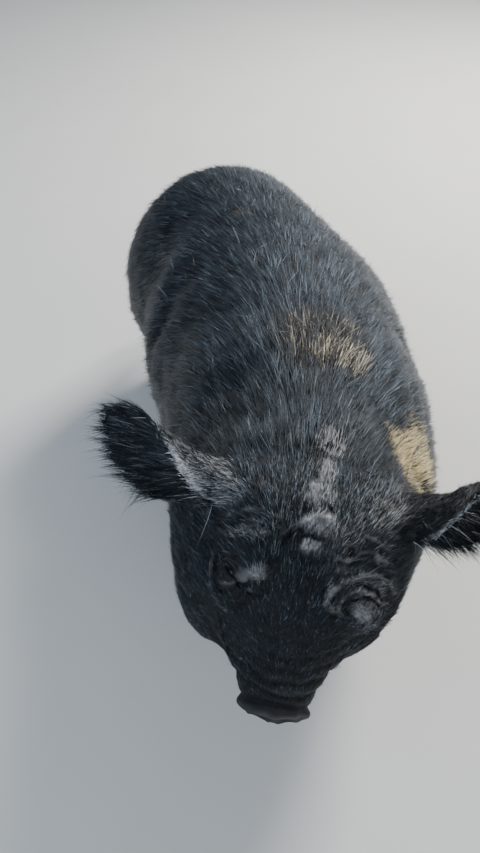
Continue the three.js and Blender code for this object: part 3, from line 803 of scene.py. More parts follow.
def finish_skin_fields(hide, tree, owners):
    """Keeps, for each corner of the hide, what grows on it."""
    points, facing = places(hide), normals(hide)
    owner = owner_of_each(points, tree, owners)
    ends = joined_ends(hide)
    table = spread(np.array([growth_of(name) for name in owner]), ends, 6)
    fields = dict(zip(FIELDS, table.T), pale=spread(paleness(points, facing, owner), ends, 2))
    # The painted shade of each part, evened over the seams.
    fields["painted_shade"] = spread(np.array([PAINTED_SHADE.get(name, 1.0) for name in owner]), ends, 12)
    fields["length"] = fields["length"] * (1 - 0.5 * fields["pale"])
    ahead = smooth_step(0.03, -0.10, to_head(points)[:, 1]) * np.isin(owner, ("head", "jaw", "snout"))
    for key, less in (("length", 0.62), ("thick", 0.38), ("lift", 0.40)):
        fields[key] = fields[key] * (1 - less * ahead)
    fold_light_and_shade = read(hide.data.attributes["fold_light_and_shade"].data, "value", 1)
    fields["crowd"] = fields["crowd"] * (1 + 0.5 * ahead) * (1 - 0.75 * smooth_step(0.6, 2.6, np.abs(fold_light_and_shade)))
    keep(hide.data, "pale", fields["pale"])
    corners = KDTree(len(points))
    for number, place in enumerate(points.tolist()):
        corners.insert(place, number)
    corners.balance()
    way = laid(spread(laid(lie_of_coat(points, facing, owner), facing), ends, 12), facing)
    SKIN.update(points=points, facing=facing, owner=owner, way=way, fields=fields, hide=hide, tree=corners)


# ------------------------------------------------------------------ coat


PATCH = 0.003  # the size of a tuft's patch on the hide's unwrap
# Worn patches in millimetres of the head's frame: middle, radii, and how bare.
BARE_PATCHES = [
    ((-3, 48, 54), (14, 9, 20), 0.85),
    ((5, 77, 58), (20, 13, 22), 0.35),
    ((0, 114, 61), (17, 20, 24), 0.45),
    ((5, 192, 33), (20, 28, 30), 0.5),
    ((-84, 55, 40), (32, 8, 24), 0.35),
    ((-58, 3, 28), (16, 13, 22), 0.4),
    ((4, 150, 50), (14, 24, 24), 0.3),
]


def bareness(points):
    """Where the hide shows through: the snout, lids, brow bumps and the worn patches of the crown."""
    mm = to_head(points) * 1000
    bare = np.zeros(len(mm))
    for way in (1, -1):
        lids = (EYE * 1000 + [4, -5, 8]) * [way, 1, 1]
        bare = np.maximum(bare, 1 - smooth_step(22, 34, np.linalg.norm(mm - lids, axis=1)))
    for at, radii, much in BARE_PATCHES:
        bare = np.maximum(bare, much * hump(np.linalg.norm((mm - at) / radii, axis=1), 1))
    disc = smooth_step(-138, -150, mm[:, 1]) * (mm[:, 2] > -88)
    return np.maximum(bare, disc)


def scatter(weight, count, seed):
    """Roots spread evenly over the hide, thicker where the weight is larger."""
    rng = np.random.default_rng(seed)
    mesh = SKIN["hide"].data
    mesh.calc_loop_triangles()
    corners, loops = np.zeros((2, len(mesh.loop_triangles) * 3), np.int32)
    mesh.loop_triangles.foreach_get("vertices", corners)
    mesh.loop_triangles.foreach_get("loops", loops)
    corners, loops = corners.reshape(-1, 3), loops.reshape(-1, 3)
    sheet = read(mesh.uv_layers["OFBake"].data, "uv", 2)
    a, b, c = (SKIN["points"][corners[:, i]] for i in range(3))
    area = np.linalg.norm(np.cross(b - a, c - a), axis=1) / 2
    share = np.cumsum(area * weight[corners].mean(1))
    picks = np.searchsorted(share, (np.arange(count) + rng.random(count)) / count * share[-1])
    picks = np.minimum(picks, len(corners) - 1)
    u, v = rng.random(count), rng.random(count)
    over = u + v > 1
    u[over], v[over] = 1 - u[over], 1 - v[over]
    mix = np.stack([1 - u - v, u, v], 1)
    at = corners[picks]

    def blended(values):
        values = values.reshape(len(values), -1)
        return (values[at] * mix[:, :, None]).sum(1)

    roots = {key: blended(SKIN["fields"][key])[:, 0] for key in (*FIELDS, "pale", "painted_shade")}
    roots["place"] = blended(SKIN["points"])
    roots["facing"] = unit(blended(SKIN["facing"]))
    roots["way"] = laid(blended(SKIN["way"]), roots["facing"])
    roots["owner"] = SKIN["owner"][at[:, 0]]
    roots["sheet"] = (sheet[loops[picks]] * mix[:, :, None]).sum(1)
    return roots, rng


def kept_above(tips, facing, height):
    """Moves tips so that they stand over the hide next to them by about the height given."""
    found = np.array([SKIN["tree"].find(tip)[1] for tip in tips.tolist()])
    under, out = SKIN["points"][found], SKIN["facing"][found]
    stands = ((tips - under) * out).sum(1)
    wanted = np.clip(stands, height * 0.55, height * 1.25 + 0.0015)
    same_side = (out * facing).sum(1) > 0.2
    return tips + out * ((wanted - stands) * same_side)[:, None]


def lie_of_tufts(roots, rng, segments, splay, stray):
    """Each tuft's way along the hide, the way it points, its tip, and how light it is. Neighbouring tufts
    lie in streams, and a few stray from them."""
    tufts = len(roots["place"])
    side = np.cross(roots["facing"], roots["way"])
    wild = rng.random(tufts) < stray
    stream = ripple(roots["place"], 0.035, 71) * splay * 0.7
    turned = (stream + rng.normal(0, splay * 0.5, tufts) + wild * rng.normal(0, 0.5, tufts))[:, None]
    way = unit(roots["way"] * np.cos(turned) + side * np.sin(turned))
    wave = ripple(roots["place"], 0.028, 72)
    lift = roots["lift"] * np.clip(1 + 0.25 * wave + rng.normal(0, 0.3, tufts), 0.2, 2.2) + wild * 0.10
    lock = 0.5 + 0.09 * wave + 0.10 * ripple(roots["place"], 0.010, 73) + rng.normal(0, 0.22, tufts)
    # The painted shade of each part darkens its tufts.
    lock = np.clip(lock * roots["painted_shade"], 0, 1)
    aim = unit(way + roots["facing"] * lift[:, None])
    tip = roots["place"] + aim * roots["length"][:, None]
    if segments == 1:
        tip = kept_above(tip, roots["facing"], roots["length"] * lift)
        aim = unit(tip - roots["place"])
    return way, aim, tip, lock


def shape_hairs(roots, rng, hairs, segments, gather, droop, lie):
    """The corners of each hair in turn: rings of three, and its tip. A tuft's hairs start side by side and
    lean towards one tip."""
    way, aim, tip = (np.repeat(values, hairs, 0) for values in lie)
    facing = np.repeat(roots["facing"], hairs, 0)
    side = np.cross(facing, way)
    total = len(facing)
    thick = np.repeat(roots["thick"], hairs) * rng.uniform(0.75, 1.3, total)
    length = np.repeat(roots["length"], hairs) * rng.uniform(0.65, 1.15, total)
    apart = thick[:, None] * 2.0
    root = np.repeat(roots["place"], hairs, 0)
    root = root + side * rng.normal(0, 1, (total, 1)) * apart + way * rng.normal(0, 3.0, (total, 1)) * apart
    straight = root + aim * length[:, None]
    shared = tip + rng.normal(0, 1, (total, 3)) * thick[:, None] * 1.3
    reach = unit(straight * (1 - gather) + shared * gather - root)
    reach = unit(reach + side * rng.normal(0, 0.05, (total, 1)))
    root = root - facing * (length * 0.05)[:, None]
    side = unit(np.cross(reach, facing))
    out = np.cross(side, reach)
    sway = (side * rng.normal(0, 0.10, (total, 1)) + [0, 0, -droop]) * (segments > 1)
    rings = []
    for step in range(segments):
        t = step / segments
        wide = (thick * (1 - t) ** 0.8)[:, None]
        spine = root + (reach * t + sway * t * t) * length[:, None]
        rings += [spine + side * wide / 2, spine - side * wide / 2, spine + out * wide * 0.4]
    rings.append(root + (reach + sway) * length[:, None])
    return np.stack(rings, 1).reshape(-1, 3)


def hair_faces(segments):
    """The triangles of one hair."""
    faces = [(0, 2, 1)]
    for step in range(segments - 1):
        for i in range(3):
            a, b = step * 3 + i, step * 3 + (i + 1) % 3
            faces += [(a, b, b + 3), (a, b + 3, a + 3)]
    last = 3 * (segments - 1)
    return np.array(faces + [(last + i, last + (i + 1) % 3, last + 3) for i in range(3)])


def mesh_of_hairs(name, points, triangles, sheet):
    """A smooth mesh of triangles with its unwrap."""
    mesh = bpy.data.meshes.new(name)
    mesh.vertices.add(len(points))
    mesh.vertices.foreach_set("co", points.astype(np.float32).ravel())
    mesh.loops.add(len(triangles) * 3)
    mesh.loops.foreach_set("vertex_index", triangles.astype(np.int32).ravel())
    mesh.polygons.add(len(triangles))
    mesh.polygons.foreach_set("loop_start", np.arange(0, len(triangles) * 3, 3, dtype=np.int32))
    mesh.update(calc_edges=True)
    mesh.polygons.foreach_set("use_smooth", np.ones(len(triangles), bool))
    corners = np.clip(sheet[triangles.ravel()], 0, 1).astype(np.float32)
    mesh.uv_layers.new(name="OFBake").data.foreach_set("uv", corners.ravel())
    return mesh


def grow(name, roots, rng, hairs, segments, splay, gather, droop=0.0, stray=0.04, palest=0.0):
    """A piece of solid hairs in tufts, each tuft a small patch at its root's place on the hide's unwrap."""
    *lie, lock = lie_of_tufts(roots, rng, segments, splay, stray)
    points = shape_hairs(roots, rng, hairs, segments, gather, droop, lie)
    tufts = len(lock)
    total = tufts * hairs
    per_hair = 3 * segments + 1
    first = np.arange(total) * per_hair
    triangles = (hair_faces(segments)[None] + first[:, None, None]).reshape(-1, 3)
    along = np.array([step / segments for step in range(segments) for _ in range(3)] + [1.0])
    across = np.array([0.0, 1.0, 0.5] * segments + [0.5])
    slot = np.tile(np.arange(hairs) / hairs, tufts)[:, None]
    on_patch = np.stack([(slot + across * 0.9 / hairs).ravel(), np.tile(along, total)], 1)
    sheet = np.repeat(roots["sheet"], hairs * per_hair, 0) + PATCH * (on_patch - 0.5)
    mesh = mesh_of_hairs(name, points, triangles, sheet)
    keep(mesh, "along", np.tile(along, total))
    keep(mesh, "strand", np.repeat(rng.uniform(palest, 1, total), per_hair))
    keep(mesh, "lock", np.repeat(lock, hairs * per_hair))
    keep(mesh, "pale", np.repeat(roots["pale"], hairs * per_hair))
    piece = bpy.data.objects.new(name, mesh)
    bpy.context.scene.collection.objects.link(piece)
    return piece


def only(roots, mask):
    """The chosen ones of the roots."""
    return {key: values[mask] for key, values in roots.items()}


def dress(piece, material):
    """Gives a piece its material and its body."""
    piece.data.materials.clear()
    piece.data.materials.append(material)
    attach(piece, "root")
    return piece


# ------------------------------------------------------------------ materials


class Wire:
    """A socket's value in a material, with arithmetic on it."""

    def __init__(self, paint, socket):
        self.paint = paint
        self.socket = socket

    def math(self, operation, *values):
        return self.paint.node("ShaderNodeMath", {"operation": operation}, dict(enumerate(values)))

    def __add__(self, other):
        return self.math("ADD", self, other)

    __radd__ = __add__

    def __sub__(self, other):
        return self.math("SUBTRACT", self, other)

    def __rsub__(self, other):
        return self.math("SUBTRACT", other, self)

    def __mul__(self, other):
        return self.math("MULTIPLY", self, other)

    __rmul__ = __mul__


class Paint:
    """A material as it is mixed."""

    def __init__(self, name, **constants):
        self.material = bpy.data.materials.new(name)
        self.material.use_nodes = True
        self.tree = self.material.node_tree
        self.shader = self.tree.nodes["Principled BSDF"]
        for key, value in constants.items():
            self.shader.inputs[key.replace("_", " ")].default_value = value

    def node(self, kind, settings, inputs, output=0):
        """Adds a node, sets it, fills its sockets with values or links, and gives one of its outputs."""
        node = self.tree.nodes.new(kind)
        for key, value in settings.items():
            setattr(node, key, value)
        for key, value in inputs.items():
            if isinstance(value, Wire):
                self.tree.links.new(value.socket, node.inputs[key])
            else:
                node.inputs[key].default_value = value
        return Wire(self, node.outputs[output])

    def feed(self, key, wire):
        self.tree.links.new(wire.socket, self.shader.inputs[key])

    def object_place(self):
        return self.node("ShaderNodeTexCoord", {}, {}, "Object")

    def attribute(self, name):
        return self.node("ShaderNodeAttribute", {"attribute_name": name}, {}, "Fac")

    def vector(self, operation, *values, output="Vector"):
        return self.node("ShaderNodeVectorMath", {"operation": operation}, dict(enumerate(values)), output)

    def mapped(self, place, scale, shift=(0, 0, 0)):
        inputs = {"Vector": place, "Scale": scale, "Location": shift}
        return self.node("ShaderNodeMapping", {"vector_type": "POINT"}, inputs)

    def noise(self, place, scale, detail=3.0, roughness=0.55, output=0):
        inputs = {"Vector": place, "Scale": scale, "Detail": detail, "Roughness": roughness}
        return self.node("ShaderNodeTexNoise", {}, inputs, output)

    def cells(self, place, scale):
        """How far a place is from the edge of its cell."""
        inputs = {"Vector": place, "Scale": scale}
        return self.node("ShaderNodeTexVoronoi", {"feature": "DISTANCE_TO_EDGE"}, inputs)

    def ramp(self, value, low, high):
        """0 below low, 1 above high, smooth between."""
        inputs = {"Value": value, "From Min": low, "From Max": high}
        return self.node("ShaderNodeMapRange", {"interpolation_type": "SMOOTHSTEP"}, inputs)

    def mix(self, share, first, second):
        """A colour between two others."""
        inputs = {0: share, 6: colour(first), 7: colour(second)}
        return self.node("ShaderNodeMix", {"data_type": "RGBA"}, inputs, 2)

    def spot(self, place, at, radii):
        """1 in the middle of a rounded patch, 0 outside it."""
        moved = self.mapped(place, [1 / r for r in radii], [-a / r for a, r in zip(at, radii)])
        return 1 - self.ramp(self.vector("LENGTH", moved, output="Value"), 0.5, 1.25)

    def bump(self, height, distance):
        inputs = {"Height": height, "Strength": 0.5, "Distance": distance}
        self.feed("Normal", self.node("ShaderNodeBump", {}, inputs))


def larger(first, second):
    return first.math("MAXIMUM", first, second)


def colour(value):
    return value if isinstance(value, Wire) else (*value, 1.0)


def on_head(x, y, z):
    return from_head(np.array([x, y, z]) / 1000)


def on_body(x, y, z):
    return from_body(x / 1000, y / 1000, z / 1000)


# The spots that make up each kind of marking: middle and radii in metres. The coat and the hide share them.
# Some are painted light: sunlight on the withers and the left shoulder, and highlights on some of the worn
# spots.
MARKINGS = {
    # The withers: pale bristles, partly real ones and partly painted sunlight on black ones.
    "golden_sunlit": [
        (on_body(52, 22, 545), (0.052, 0.036, 0.08)),
        (on_body(76, 12, 540), (0.032, 0.036, 0.07)),
    ],
    # Round them, painted sunlight warming the coat, with a few pale bristles.
    "sparse_sunlit": [(on_body(26, 50, 548), (0.082, 0.078, 0.08))],
    # A painted patch of sunlight on the left shoulder.
    "tan": [
        (on_body(150, -124, 476), (0.034, 0.050, 0.060)),
        (on_body(184, -96, 446), (0.042, 0.060, 0.066)),
    ],
    "dusty": [
        (on_head(-3, 48, 54), (0.015, 0.010, 0.024)),
        (on_head(5, 77, 58), (0.024, 0.016, 0.026)),
        (on_head(0, 114, 61), (0.022, 0.022, 0.03)),
        (on_head(4, 150, 52), (0.013, 0.024, 0.03)),
        (on_head(6, 190, 30), (0.020, 0.026, 0.04)),
    ],
    # Worn spots: worn, dusty skin, and painted highlights on the left eye's lids and brow ridge and on the
    # right eye's lump.
    "worn": [
        (on_head(-84, 54, 40), (0.040, 0.012, 0.03)),
        (on_head(96, -14, 0), (0.030, 0.032, 0.04)),
        (on_head(84, 12, 16), (0.048, 0.018, 0.04)),
        (on_head(80, 22, 36), (0.046, 0.012, 0.03)),
        (on_head(36, 64, 50), (0.024, 0.016, 0.03)),
        (on_head(-58, 2, 28), (0.012, 0.011, 0.024)),
        (on_head(36, -4, 24), (0.010, 0.020, 0.03)),
        (on_head(54, 18, 26), (0.022, 0.010, 0.03)),
    ],
}
# How far the edge of each kind strays, in metres, and the share of the hairs inside that take its colour.
RAGGED = {"golden_sunlit": 0.07, "sparse_sunlit": 0.06, "tan": 0.08, "dusty": 0.016, "worn": 0.016}
SHARES = {"golden_sunlit": 0.20, "sparse_sunlit": 0.07, "tan": 0.90, "dusty": 0.62, "worn": 0.38}

# Painted shade in the creases of the folds, the nostrils and the eye slits, and in the skin's cracks.
FOLD_SHADE = (0.004, 0.004, 0.005)
CRACK_SHADE = (0.005, 0.005, 0.006)
# Painted shade: the white of the eye, darkened as if in shadow.
SHADED_EYE_WHITE = (0.016, 0.011, 0.010)
PUPIL = (0.002, 0.002, 0.003)
WORN_HORN = (0.16, 0.135, 0.11)
FLOOR_TONES = ((0.50, 0.495, 0.485), (0.56, 0.555, 0.545))


def marked(paint, place, kind):
    """How much a point of the pig has one kind of marking."""
    by = RAGGED[kind]
    ragged = paint.noise(place, 26.0, 3.0, 0.5, "Color")
    place = paint.vector("ADD", place, paint.vector("MULTIPLY_ADD", ragged, [by] * 3, [-by / 2] * 3))
    total, *others = (paint.spot(place, at, radii) for at, radii in MARKINGS[kind])
    for spot in others:
        total = larger(total, spot)
    return total


def patches(paint, place):
    """Uneven patches about two centimetres across."""
    return paint.ramp(paint.noise(place, 55.0, 2.0), 0.30, 0.55)


def streaks(paint, place):
    """Fine streaks that run along the animal."""
    return paint.noise(paint.mapped(place, (420.0, 90.0, 160.0)), 1.0, 4.0, 0.6)


def coat_paint(settings, name, shine):
    paint = Paint(name, Roughness=0.38, IOR=1.5, Specular_IOR_Level=shine)
    place = paint.object_place()
    strand, along, lock = paint.attribute("strand"), paint.attribute("along"), paint.attribute("lock")
    drift = paint.noise(place, 7.0, 3.0)
    tone = lock * 0.55 + strand * 0.30 + drift * 0.30
    base = paint.mix(paint.ramp(tone, 0.34, 0.95), settings.black, settings.grey)
    pale = paint.ramp(strand, 0.74, 0.94) * paint.ramp(lock, 0.28, 0.7)
    base = paint.mix(pale * 0.85, base, settings.silver)
    base = paint.mix(paint.ramp(along, 0.3, 1.0) * 0.30 * lock, base, settings.silver)
    patchy = 0.5 + 0.5 * patches(paint, place)
    masks = {kind: marked(paint, place, kind) * patchy for kind in MARKINGS}
    hairs = {kind: paint.ramp(strand + mask * SHARES[kind], 1.0, 1.04) for kind, mask in masks.items()}
    # Painted sunlight on the withers: the coat warmed brown and some bristles pale gold, partly real pale
    # bristles.
    base = paint.mix(masks["sparse_sunlit"] * 0.8, base, settings.sunlit_brown)
    base = paint.mix(larger(hairs["sparse_sunlit"], hairs["golden_sunlit"]), base, settings.sunlit_gold)
    # Painted sunlight on the left shoulder: most of its hairs take the sunlit tan.
    base = paint.mix(hairs["tan"], base, settings.tan)
    # Dust, and on the worn spots partly painted highlights.
    base = paint.mix(larger(hairs["dusty"], hairs["worn"]) * 0.8, base, settings.dust)
    # Pale hairs of the fringes, dust on the ears' backs, and pale fuzz with painted rim light on the ears'
    # front rims.
    pale = paint.attribute("pale")
    base = paint.mix(paint.ramp(strand + pale * 0.95, 0.95, 1.08) * 0.9, base, settings.fuzz_and_rim_light)
    paint.feed("Base Color", base)
    return paint.material


def hide_paint(settings):
    paint = Paint("hide", IOR=1.45, Specular_IOR_Level=0.22)
    place = paint.object_place()
    drift = paint.noise(place, 9.0, 3.0)
    base = paint.mix(paint.ramp(drift, 0.35, 0.7), settings.black, settings.hide)
    fine = paint.noise(place, 260.0, 4.0, 0.7)
    cracks = paint.cells(place, 560.0)
    wrinkle = paint.noise(place, 150.0, 5.0, 0.65) - 0.5
    wrinkle = wrinkle.math("ABSOLUTE", wrinkle)
    crease = 1 - paint.ramp(cracks, 0.0, 0.12)
    # Painted sunlight warming the hide round the withers.
    base = paint.mix(marked(paint, place, "sparse_sunlit") * 0.6, base, settings.sunlit_brown)
    # Painted sunlight on the left shoulder's hide.
    base = paint.mix(marked(paint, place, "tan") * 0.55, base, settings.tan)
    streaky = 0.25 + paint.ramp(streaks(paint, place), 0.44, 0.62) * 0.75
    dust = marked(paint, place, "dusty") * patches(paint, place) * streaky
    base = paint.mix(dust, base, settings.dust)
    # Worn spots: scuffed skin, partly painted highlights.
    scuffed = marked(paint, place, "worn") * paint.ramp(fine, 0.36, 0.7)
    base = paint.mix(scuffed * 0.45, base, settings.dust)
    # Pale fuzz with painted rim light on the ears' rims.
    base = paint.mix(paint.attribute("pale") * (0.55 + 0.45 * fine), base, settings.fuzz_and_rim_light)
    # Painted highlights on the ridges of the folds, in the dust colour, then painted shade in their
    # creases, the nostrils, the eye slits and the skin's cracks.
    fold_light_and_shade = paint.attribute("fold_light_and_shade")
    base = paint.mix(paint.ramp(fold_light_and_shade, 0.6, 4.0) * (0.08 + 0.42 * fine), base, settings.dust)
    base = paint.mix(paint.ramp(fold_light_and_shade * -1.0, 0.4, 2.6) * 0.85, base, FOLD_SHADE)
    base = paint.mix(crease * 0.25, base, CRACK_SHADE)
    paint.feed("Base Color", base)
    paint.feed("Roughness", 0.50 + fine * 0.25 - crease * 0.1)
    height = fine * 0.35 + paint.ramp(cracks, 0.0, 0.2) * 0.3 + paint.ramp(wrinkle, 0.0, 0.10) * 0.8
    paint.bump(height, 0.0009)
    return paint.material


def eye_paint(settings):
    wet = {"Coat_Weight": 0.06, "Coat_Roughness": 0.05}
    paint = Paint("eyeball", Roughness=0.14, IOR=1.37, Specular_IOR_Level=0.25, **wet)
    unwrapped = paint.node("ShaderNodeTexCoord", {}, {}, "UV")
    from_back = paint.node("ShaderNodeSeparateXYZ", {}, {0: unwrapped}, 1)
    rays = paint.noise(paint.object_place(), 900.0, 3.0)
    # Painted shade: the iris and the white of the eye are darkened as if in shadow.
    shaded_iris = paint.mix(rays, settings.shaded_iris, [c * 2.2 for c in settings.shaded_iris])
    base = paint.mix(paint.ramp(from_back, 0.80, 0.83), SHADED_EYE_WHITE, shaded_iris)
    base = paint.mix(paint.ramp(from_back, 0.905, 0.925), base, PUPIL)
    paint.feed("Base Color", base)
    return paint.material


def horn_paint(settings):
    paint = Paint("horn", IOR=1.5)
    place = paint.object_place()
    rings = paint.node(
        "ShaderNodeTexWave",
        {"bands_direction": "Z"},
        {"Vector": place, "Scale": 70.0, "Distortion": 6.0, "Detail": 3.0, "Detail Scale": 1.6},
    )
    grain = paint.noise(place, 180.0, 4.0)
    low = paint.ramp(paint.node("ShaderNodeSeparateXYZ", {}, {0: place}, 2), 0.0, 0.02)
    base = paint.mix(rings * 0.35 + grain * 0.4, settings.horn, [c * 2.4 for c in settings.horn])
    base = paint.mix((1 - low) * paint.ramp(grain, 0.35, 0.65) * 0.8, base, WORN_HORN)
    paint.feed("Base Color", base)
    paint.feed("Roughness", 0.42 + grain * 0.3)
    paint.bump(rings * 0.3 + grain * 0.5, 0.0010)
    return paint.material


def floor_paint():
    paint = Paint("studio_floor", Roughness=0.75)
    paint.feed("Base Color", paint.mix(paint.noise(paint.object_place(), 2.0, 3.0), *FLOOR_TONES))
    return paint.material


# ------------------------------------------------------------------ settings


def tint(name, description, value):
    """A colour that a user may change."""
    return bpy.props.FloatVectorProperty(
        name=name, description=description, subtype="COLOR", default=value
    )


class PIG_PG_settings(bpy.types.PropertyGroup):
    """The sizes and colours that a user may change."""

    grain: bpy.props.FloatProperty(
        name="Grain", description="Size of the hide's first mesh", default=0.004, unit="LENGTH"
    )
    thinning: bpy.props.FloatProperty(
        name="Thinning", description="Share of the trunk's faces kept", default=0.16, min=0.05, max=1
    )
    body_tufts: bpy.props.IntProperty(
        name="Body tufts", description="Tufts on the trunk, neck and legs", default=58000, min=1000
    )
    head_tufts: bpy.props.IntProperty(
        name="Head tufts", description="Tufts on the head and ears", default=22000, min=1000
    )
    hairs: bpy.props.IntProperty(name="Hairs", description="Hairs in each tuft", default=4, min=1, max=8)
    black: tint("Black", "The coat's ground colour", (0.0035, 0.0050, 0.0075))
    grey: tint("Cold grey", "The coat's lighter parts", (0.031, 0.046, 0.066))
    silver: tint("Silver", "Tips and single pale hairs", (0.21, 0.265, 0.32))
    # Pale bristles on the withers, partly real and partly painted sunlight.
    sunlit_gold: tint("Gold", "Pale bristles on the withers", (0.68, 0.60, 0.46))
    # Pale fuzz and painted rim light on the ears' front rims.
    fuzz_and_rim_light: tint("Fuzz", "Pale fuzz on the rims of the ears", (0.54, 0.57, 0.61))
    # Painted sunlight warming the coat round the pale bristles.
    sunlit_brown: tint("Brown", "The coat under the pale bristles", (0.014, 0.010, 0.008))
    hide: tint("Hide", "Bare hide, where it is not worn", (0.018, 0.019, 0.021))
    # A painted patch of sunlight on the left shoulder.
    tan: tint("Tan", "The patch on the left shoulder", (0.60, 0.50, 0.28))
    # Worn and dusty hide, and also the colour of the painted highlights on worn spots and on the ridges of
    # the face's folds.
    dust: tint("Dust", "Worn and dusty hide", (0.33, 0.335, 0.35))
    # Painted shade: the eyes' colour, darkened as if in shadow.
    shaded_iris: tint("Iris", "Colour of the eyes", (0.006, 0.0045, 0.0035))
    horn: tint("Horn", "Colour of the claws", (0.018, 0.015, 0.013))
    key_power: bpy.props.FloatProperty(
        name="Key light", description="Power of the main lamp", default=300, unit="POWER"
    )


# How each piece of hair is grown: its segments, how much the tufts splay, and how far their hairs gather.
BODY_LIE = (1, 0.16, 0.5)
HEAD_LIE = (1, 0.20, 0.45)
EAR_LIE = (1, 0.14, 0.45)
FRINGE_LIE = (3, 0.26, 0.65)
TAIL_LIE = (3, 0.2, 0.5)
WITHERS_LIE = (3, 0.8, 0.2)
FRINGE_TUFTS, TAIL_TUFTS, WITHERS_TUFTS = 1500, 500, 600
BODY_SEED, HEAD_SEED, FRINGE_SEED, TAIL_SEED, WITHERS_SEED = 101, 202, 300, 404, 505
BODY_PIECES, HEAD_PIECES = 5, 2
HORN_GRAIN = {"claw": 0.0022, "dewclaw": 0.0015}  # the size of the horn's first mesh

CAMERA_PLACE = (-0.10, -0.745, 1.216)  # ahead of the snout and above it, from the body's origin
CAMERA_TILT = math.radians(42)
LENS, SENSOR = 28.02, 36
FLOOR_SIZE = 40
AIM = (-0.05, 0.05, 0.3)  # what the lamps point at
SKY, SKY_STRENGTH = (0.74, 0.85, 1.0), 0.45
# The lamps: name, place, size, share of the main lamp's power, and colour.
LAMPS = [
    ("key", (1.7, 2.4, 2.6), 1.1, 1.0, (0.99, 0.96, 0.91)),
    ("fill", (-2.2, -1.2, 2.4), 2.4, 0.20, (0.74, 0.87, 1.0)),
    ("front", (0.8, -2.6, 1.9), 2.0, 0.09, (1.0, 0.98, 0.95)),
]


# ------------------------------------------------------------------ operators


class PIG_OT_hide(bpy.types.Operator):
    """Make the pig's one hide over all its flesh"""

    bl_idname = "pig.hide"
    bl_label = "Hide"

    def execute(self, context):
        settings = context.scene.pig
        hide = dress(make_hide(settings), hide_paint(settings))
        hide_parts(*FLESH)
        return {"FINISHED"}


class PIG_OT_coat(bpy.types.Operator):
    """Grow the bristles of the trunk, neck, legs, head and ears"""

    bl_idname = "pig.coat"
    bl_label = "Coat"

    def execute(self, context):
        settings = context.scene.pig
        material = coat_paint(settings, "bristles", 0.42)
        crowd = SKIN["fields"]["crowd"] * (1 - 0.93 * bareness(SKIN["points"]))
        head = np.isin(SKIN["owner"], ("head", "jaw", "snout", "ear_left", "ear_right")).astype(float)
        roots, rng = scatter(crowd * (1 - head), settings.body_tufts, BODY_SEED)
        x, y, z = to_body(roots["place"]).T
        mane = hump(x, 0.07) * smooth_step(0.30, 0.0, y) * (z > 0.40)
        low = smooth_step(0.24, 0.08, z)
        roots["length"] = roots["length"] * (1 + 0.45 * mane) * (1 - 0.45 * low)
        roots["lift"] = roots["lift"] * (1 + 0.6 * mane)
        for number, part in enumerate(np.array_split(np.argsort(y), BODY_PIECES), 1):
            bristles = grow(f"coat_body_{number}", only(roots, part), rng, settings.hairs, *BODY_LIE)
            dress(bristles, material)
        roots, rng = scatter(crowd * head, settings.head_tufts, HEAD_SEED)
        on_ears = np.char.startswith(roots["owner"].astype(str), "ear_")
        order = np.argsort(to_head(roots["place"])[:, 1])
        order = order[~on_ears[order]]
        for number, part in enumerate(np.array_split(order, HEAD_PIECES), 1):
            bristles = grow(f"coat_head_{number}", only(roots, part), rng, settings.hairs, *HEAD_LIE)
            dress(bristles, material)
        bristles = grow("coat_ears", only(roots, on_ears), rng, settings.hairs, *EAR_LIE)
        # A shaded copy of the bristles for the ears, with less sheen so that they look in shade.
        dress(bristles, coat_paint(settings, "shaded_ear_bristles", 0.12))
        return {"FINISHED"}


def grow_fringe(side, seed, material):
    """The long hair inside an ear."""
    along, across, back = to_ear(SKIN["points"], side)
    inside = (SKIN["owner"] == f"ear_{side}") * smooth_step(0.1, -0.5, (SKIN["facing"] * back).sum(1))
    inside = inside * smooth_step(0.12, 0.25, along) * smooth_step(1.0, 0.85, along)
    inside = inside * smooth_step(0.008, 0.018, across + half_width_of_ear(along))
    roots, rng = scatter(inside + 1e-9, FRINGE_TUFTS, seed)
    along = to_ear(roots["place"], side)[0]
    droop, longest, shorter, pale = FRINGES[side]
    flow = EAR_FRAMES[side][1][0] + HEAD_AXES[1] * droop
    roots["way"] = laid(np.tile(flow, (FRINGE_TUFTS, 1)), roots["facing"])
    roots["length"] = rng.uniform(longest * 0.3, longest, FRINGE_TUFTS) * (1.1 - shorter * along)
    roots["lift"][:] = 0.16
    roots["thick"][:] = 0.0007
    roots["pale"][:] = pale
    dress(grow(f"fringe_{side}", roots, rng, 4, *FRINGE_LIE, 0.12), material)


def grow_tail_tuft(material):
    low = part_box("tail")[0][2]
    at_end = (SKIN["owner"] == "tail") * smooth_step(low + 0.10, low + 0.04, SKIN["points"][:, 2])
    roots, rng = scatter(at_end + 1e-9, TAIL_TUFTS, TAIL_SEED)
    roots["length"] = rng.uniform(0.02, 0.045, TAIL_TUFTS)
    roots["lift"][:] = 0.25
    dress(grow("tail_tuft", roots, rng, 4, *TAIL_LIE), material)


def grow_withers_bristles(material):
    """Stray bristles, most of them pale, that stand out of the coat on the withers."""
    back = to_body(SKIN["points"])
    stray = hump(np.linalg.norm((back[:, :2] - [0.040, 0.05]) / [0.06, 0.07], axis=1), 1)
    roots, rng = scatter(stray * (back[:, 2] > 0.42) + 1e-9, WITHERS_TUFTS, WITHERS_SEED)
    roots["length"] = rng.uniform(0.025, 0.050, WITHERS_TUFTS)
    roots["lift"][:] = 0.35
    roots["thick"][:] = 0.0012
    bristles = grow("withers_bristles", roots, rng, 2, *WITHERS_LIE, droop=0.1, stray=0.5, palest=0.68)
    dress(bristles, material)


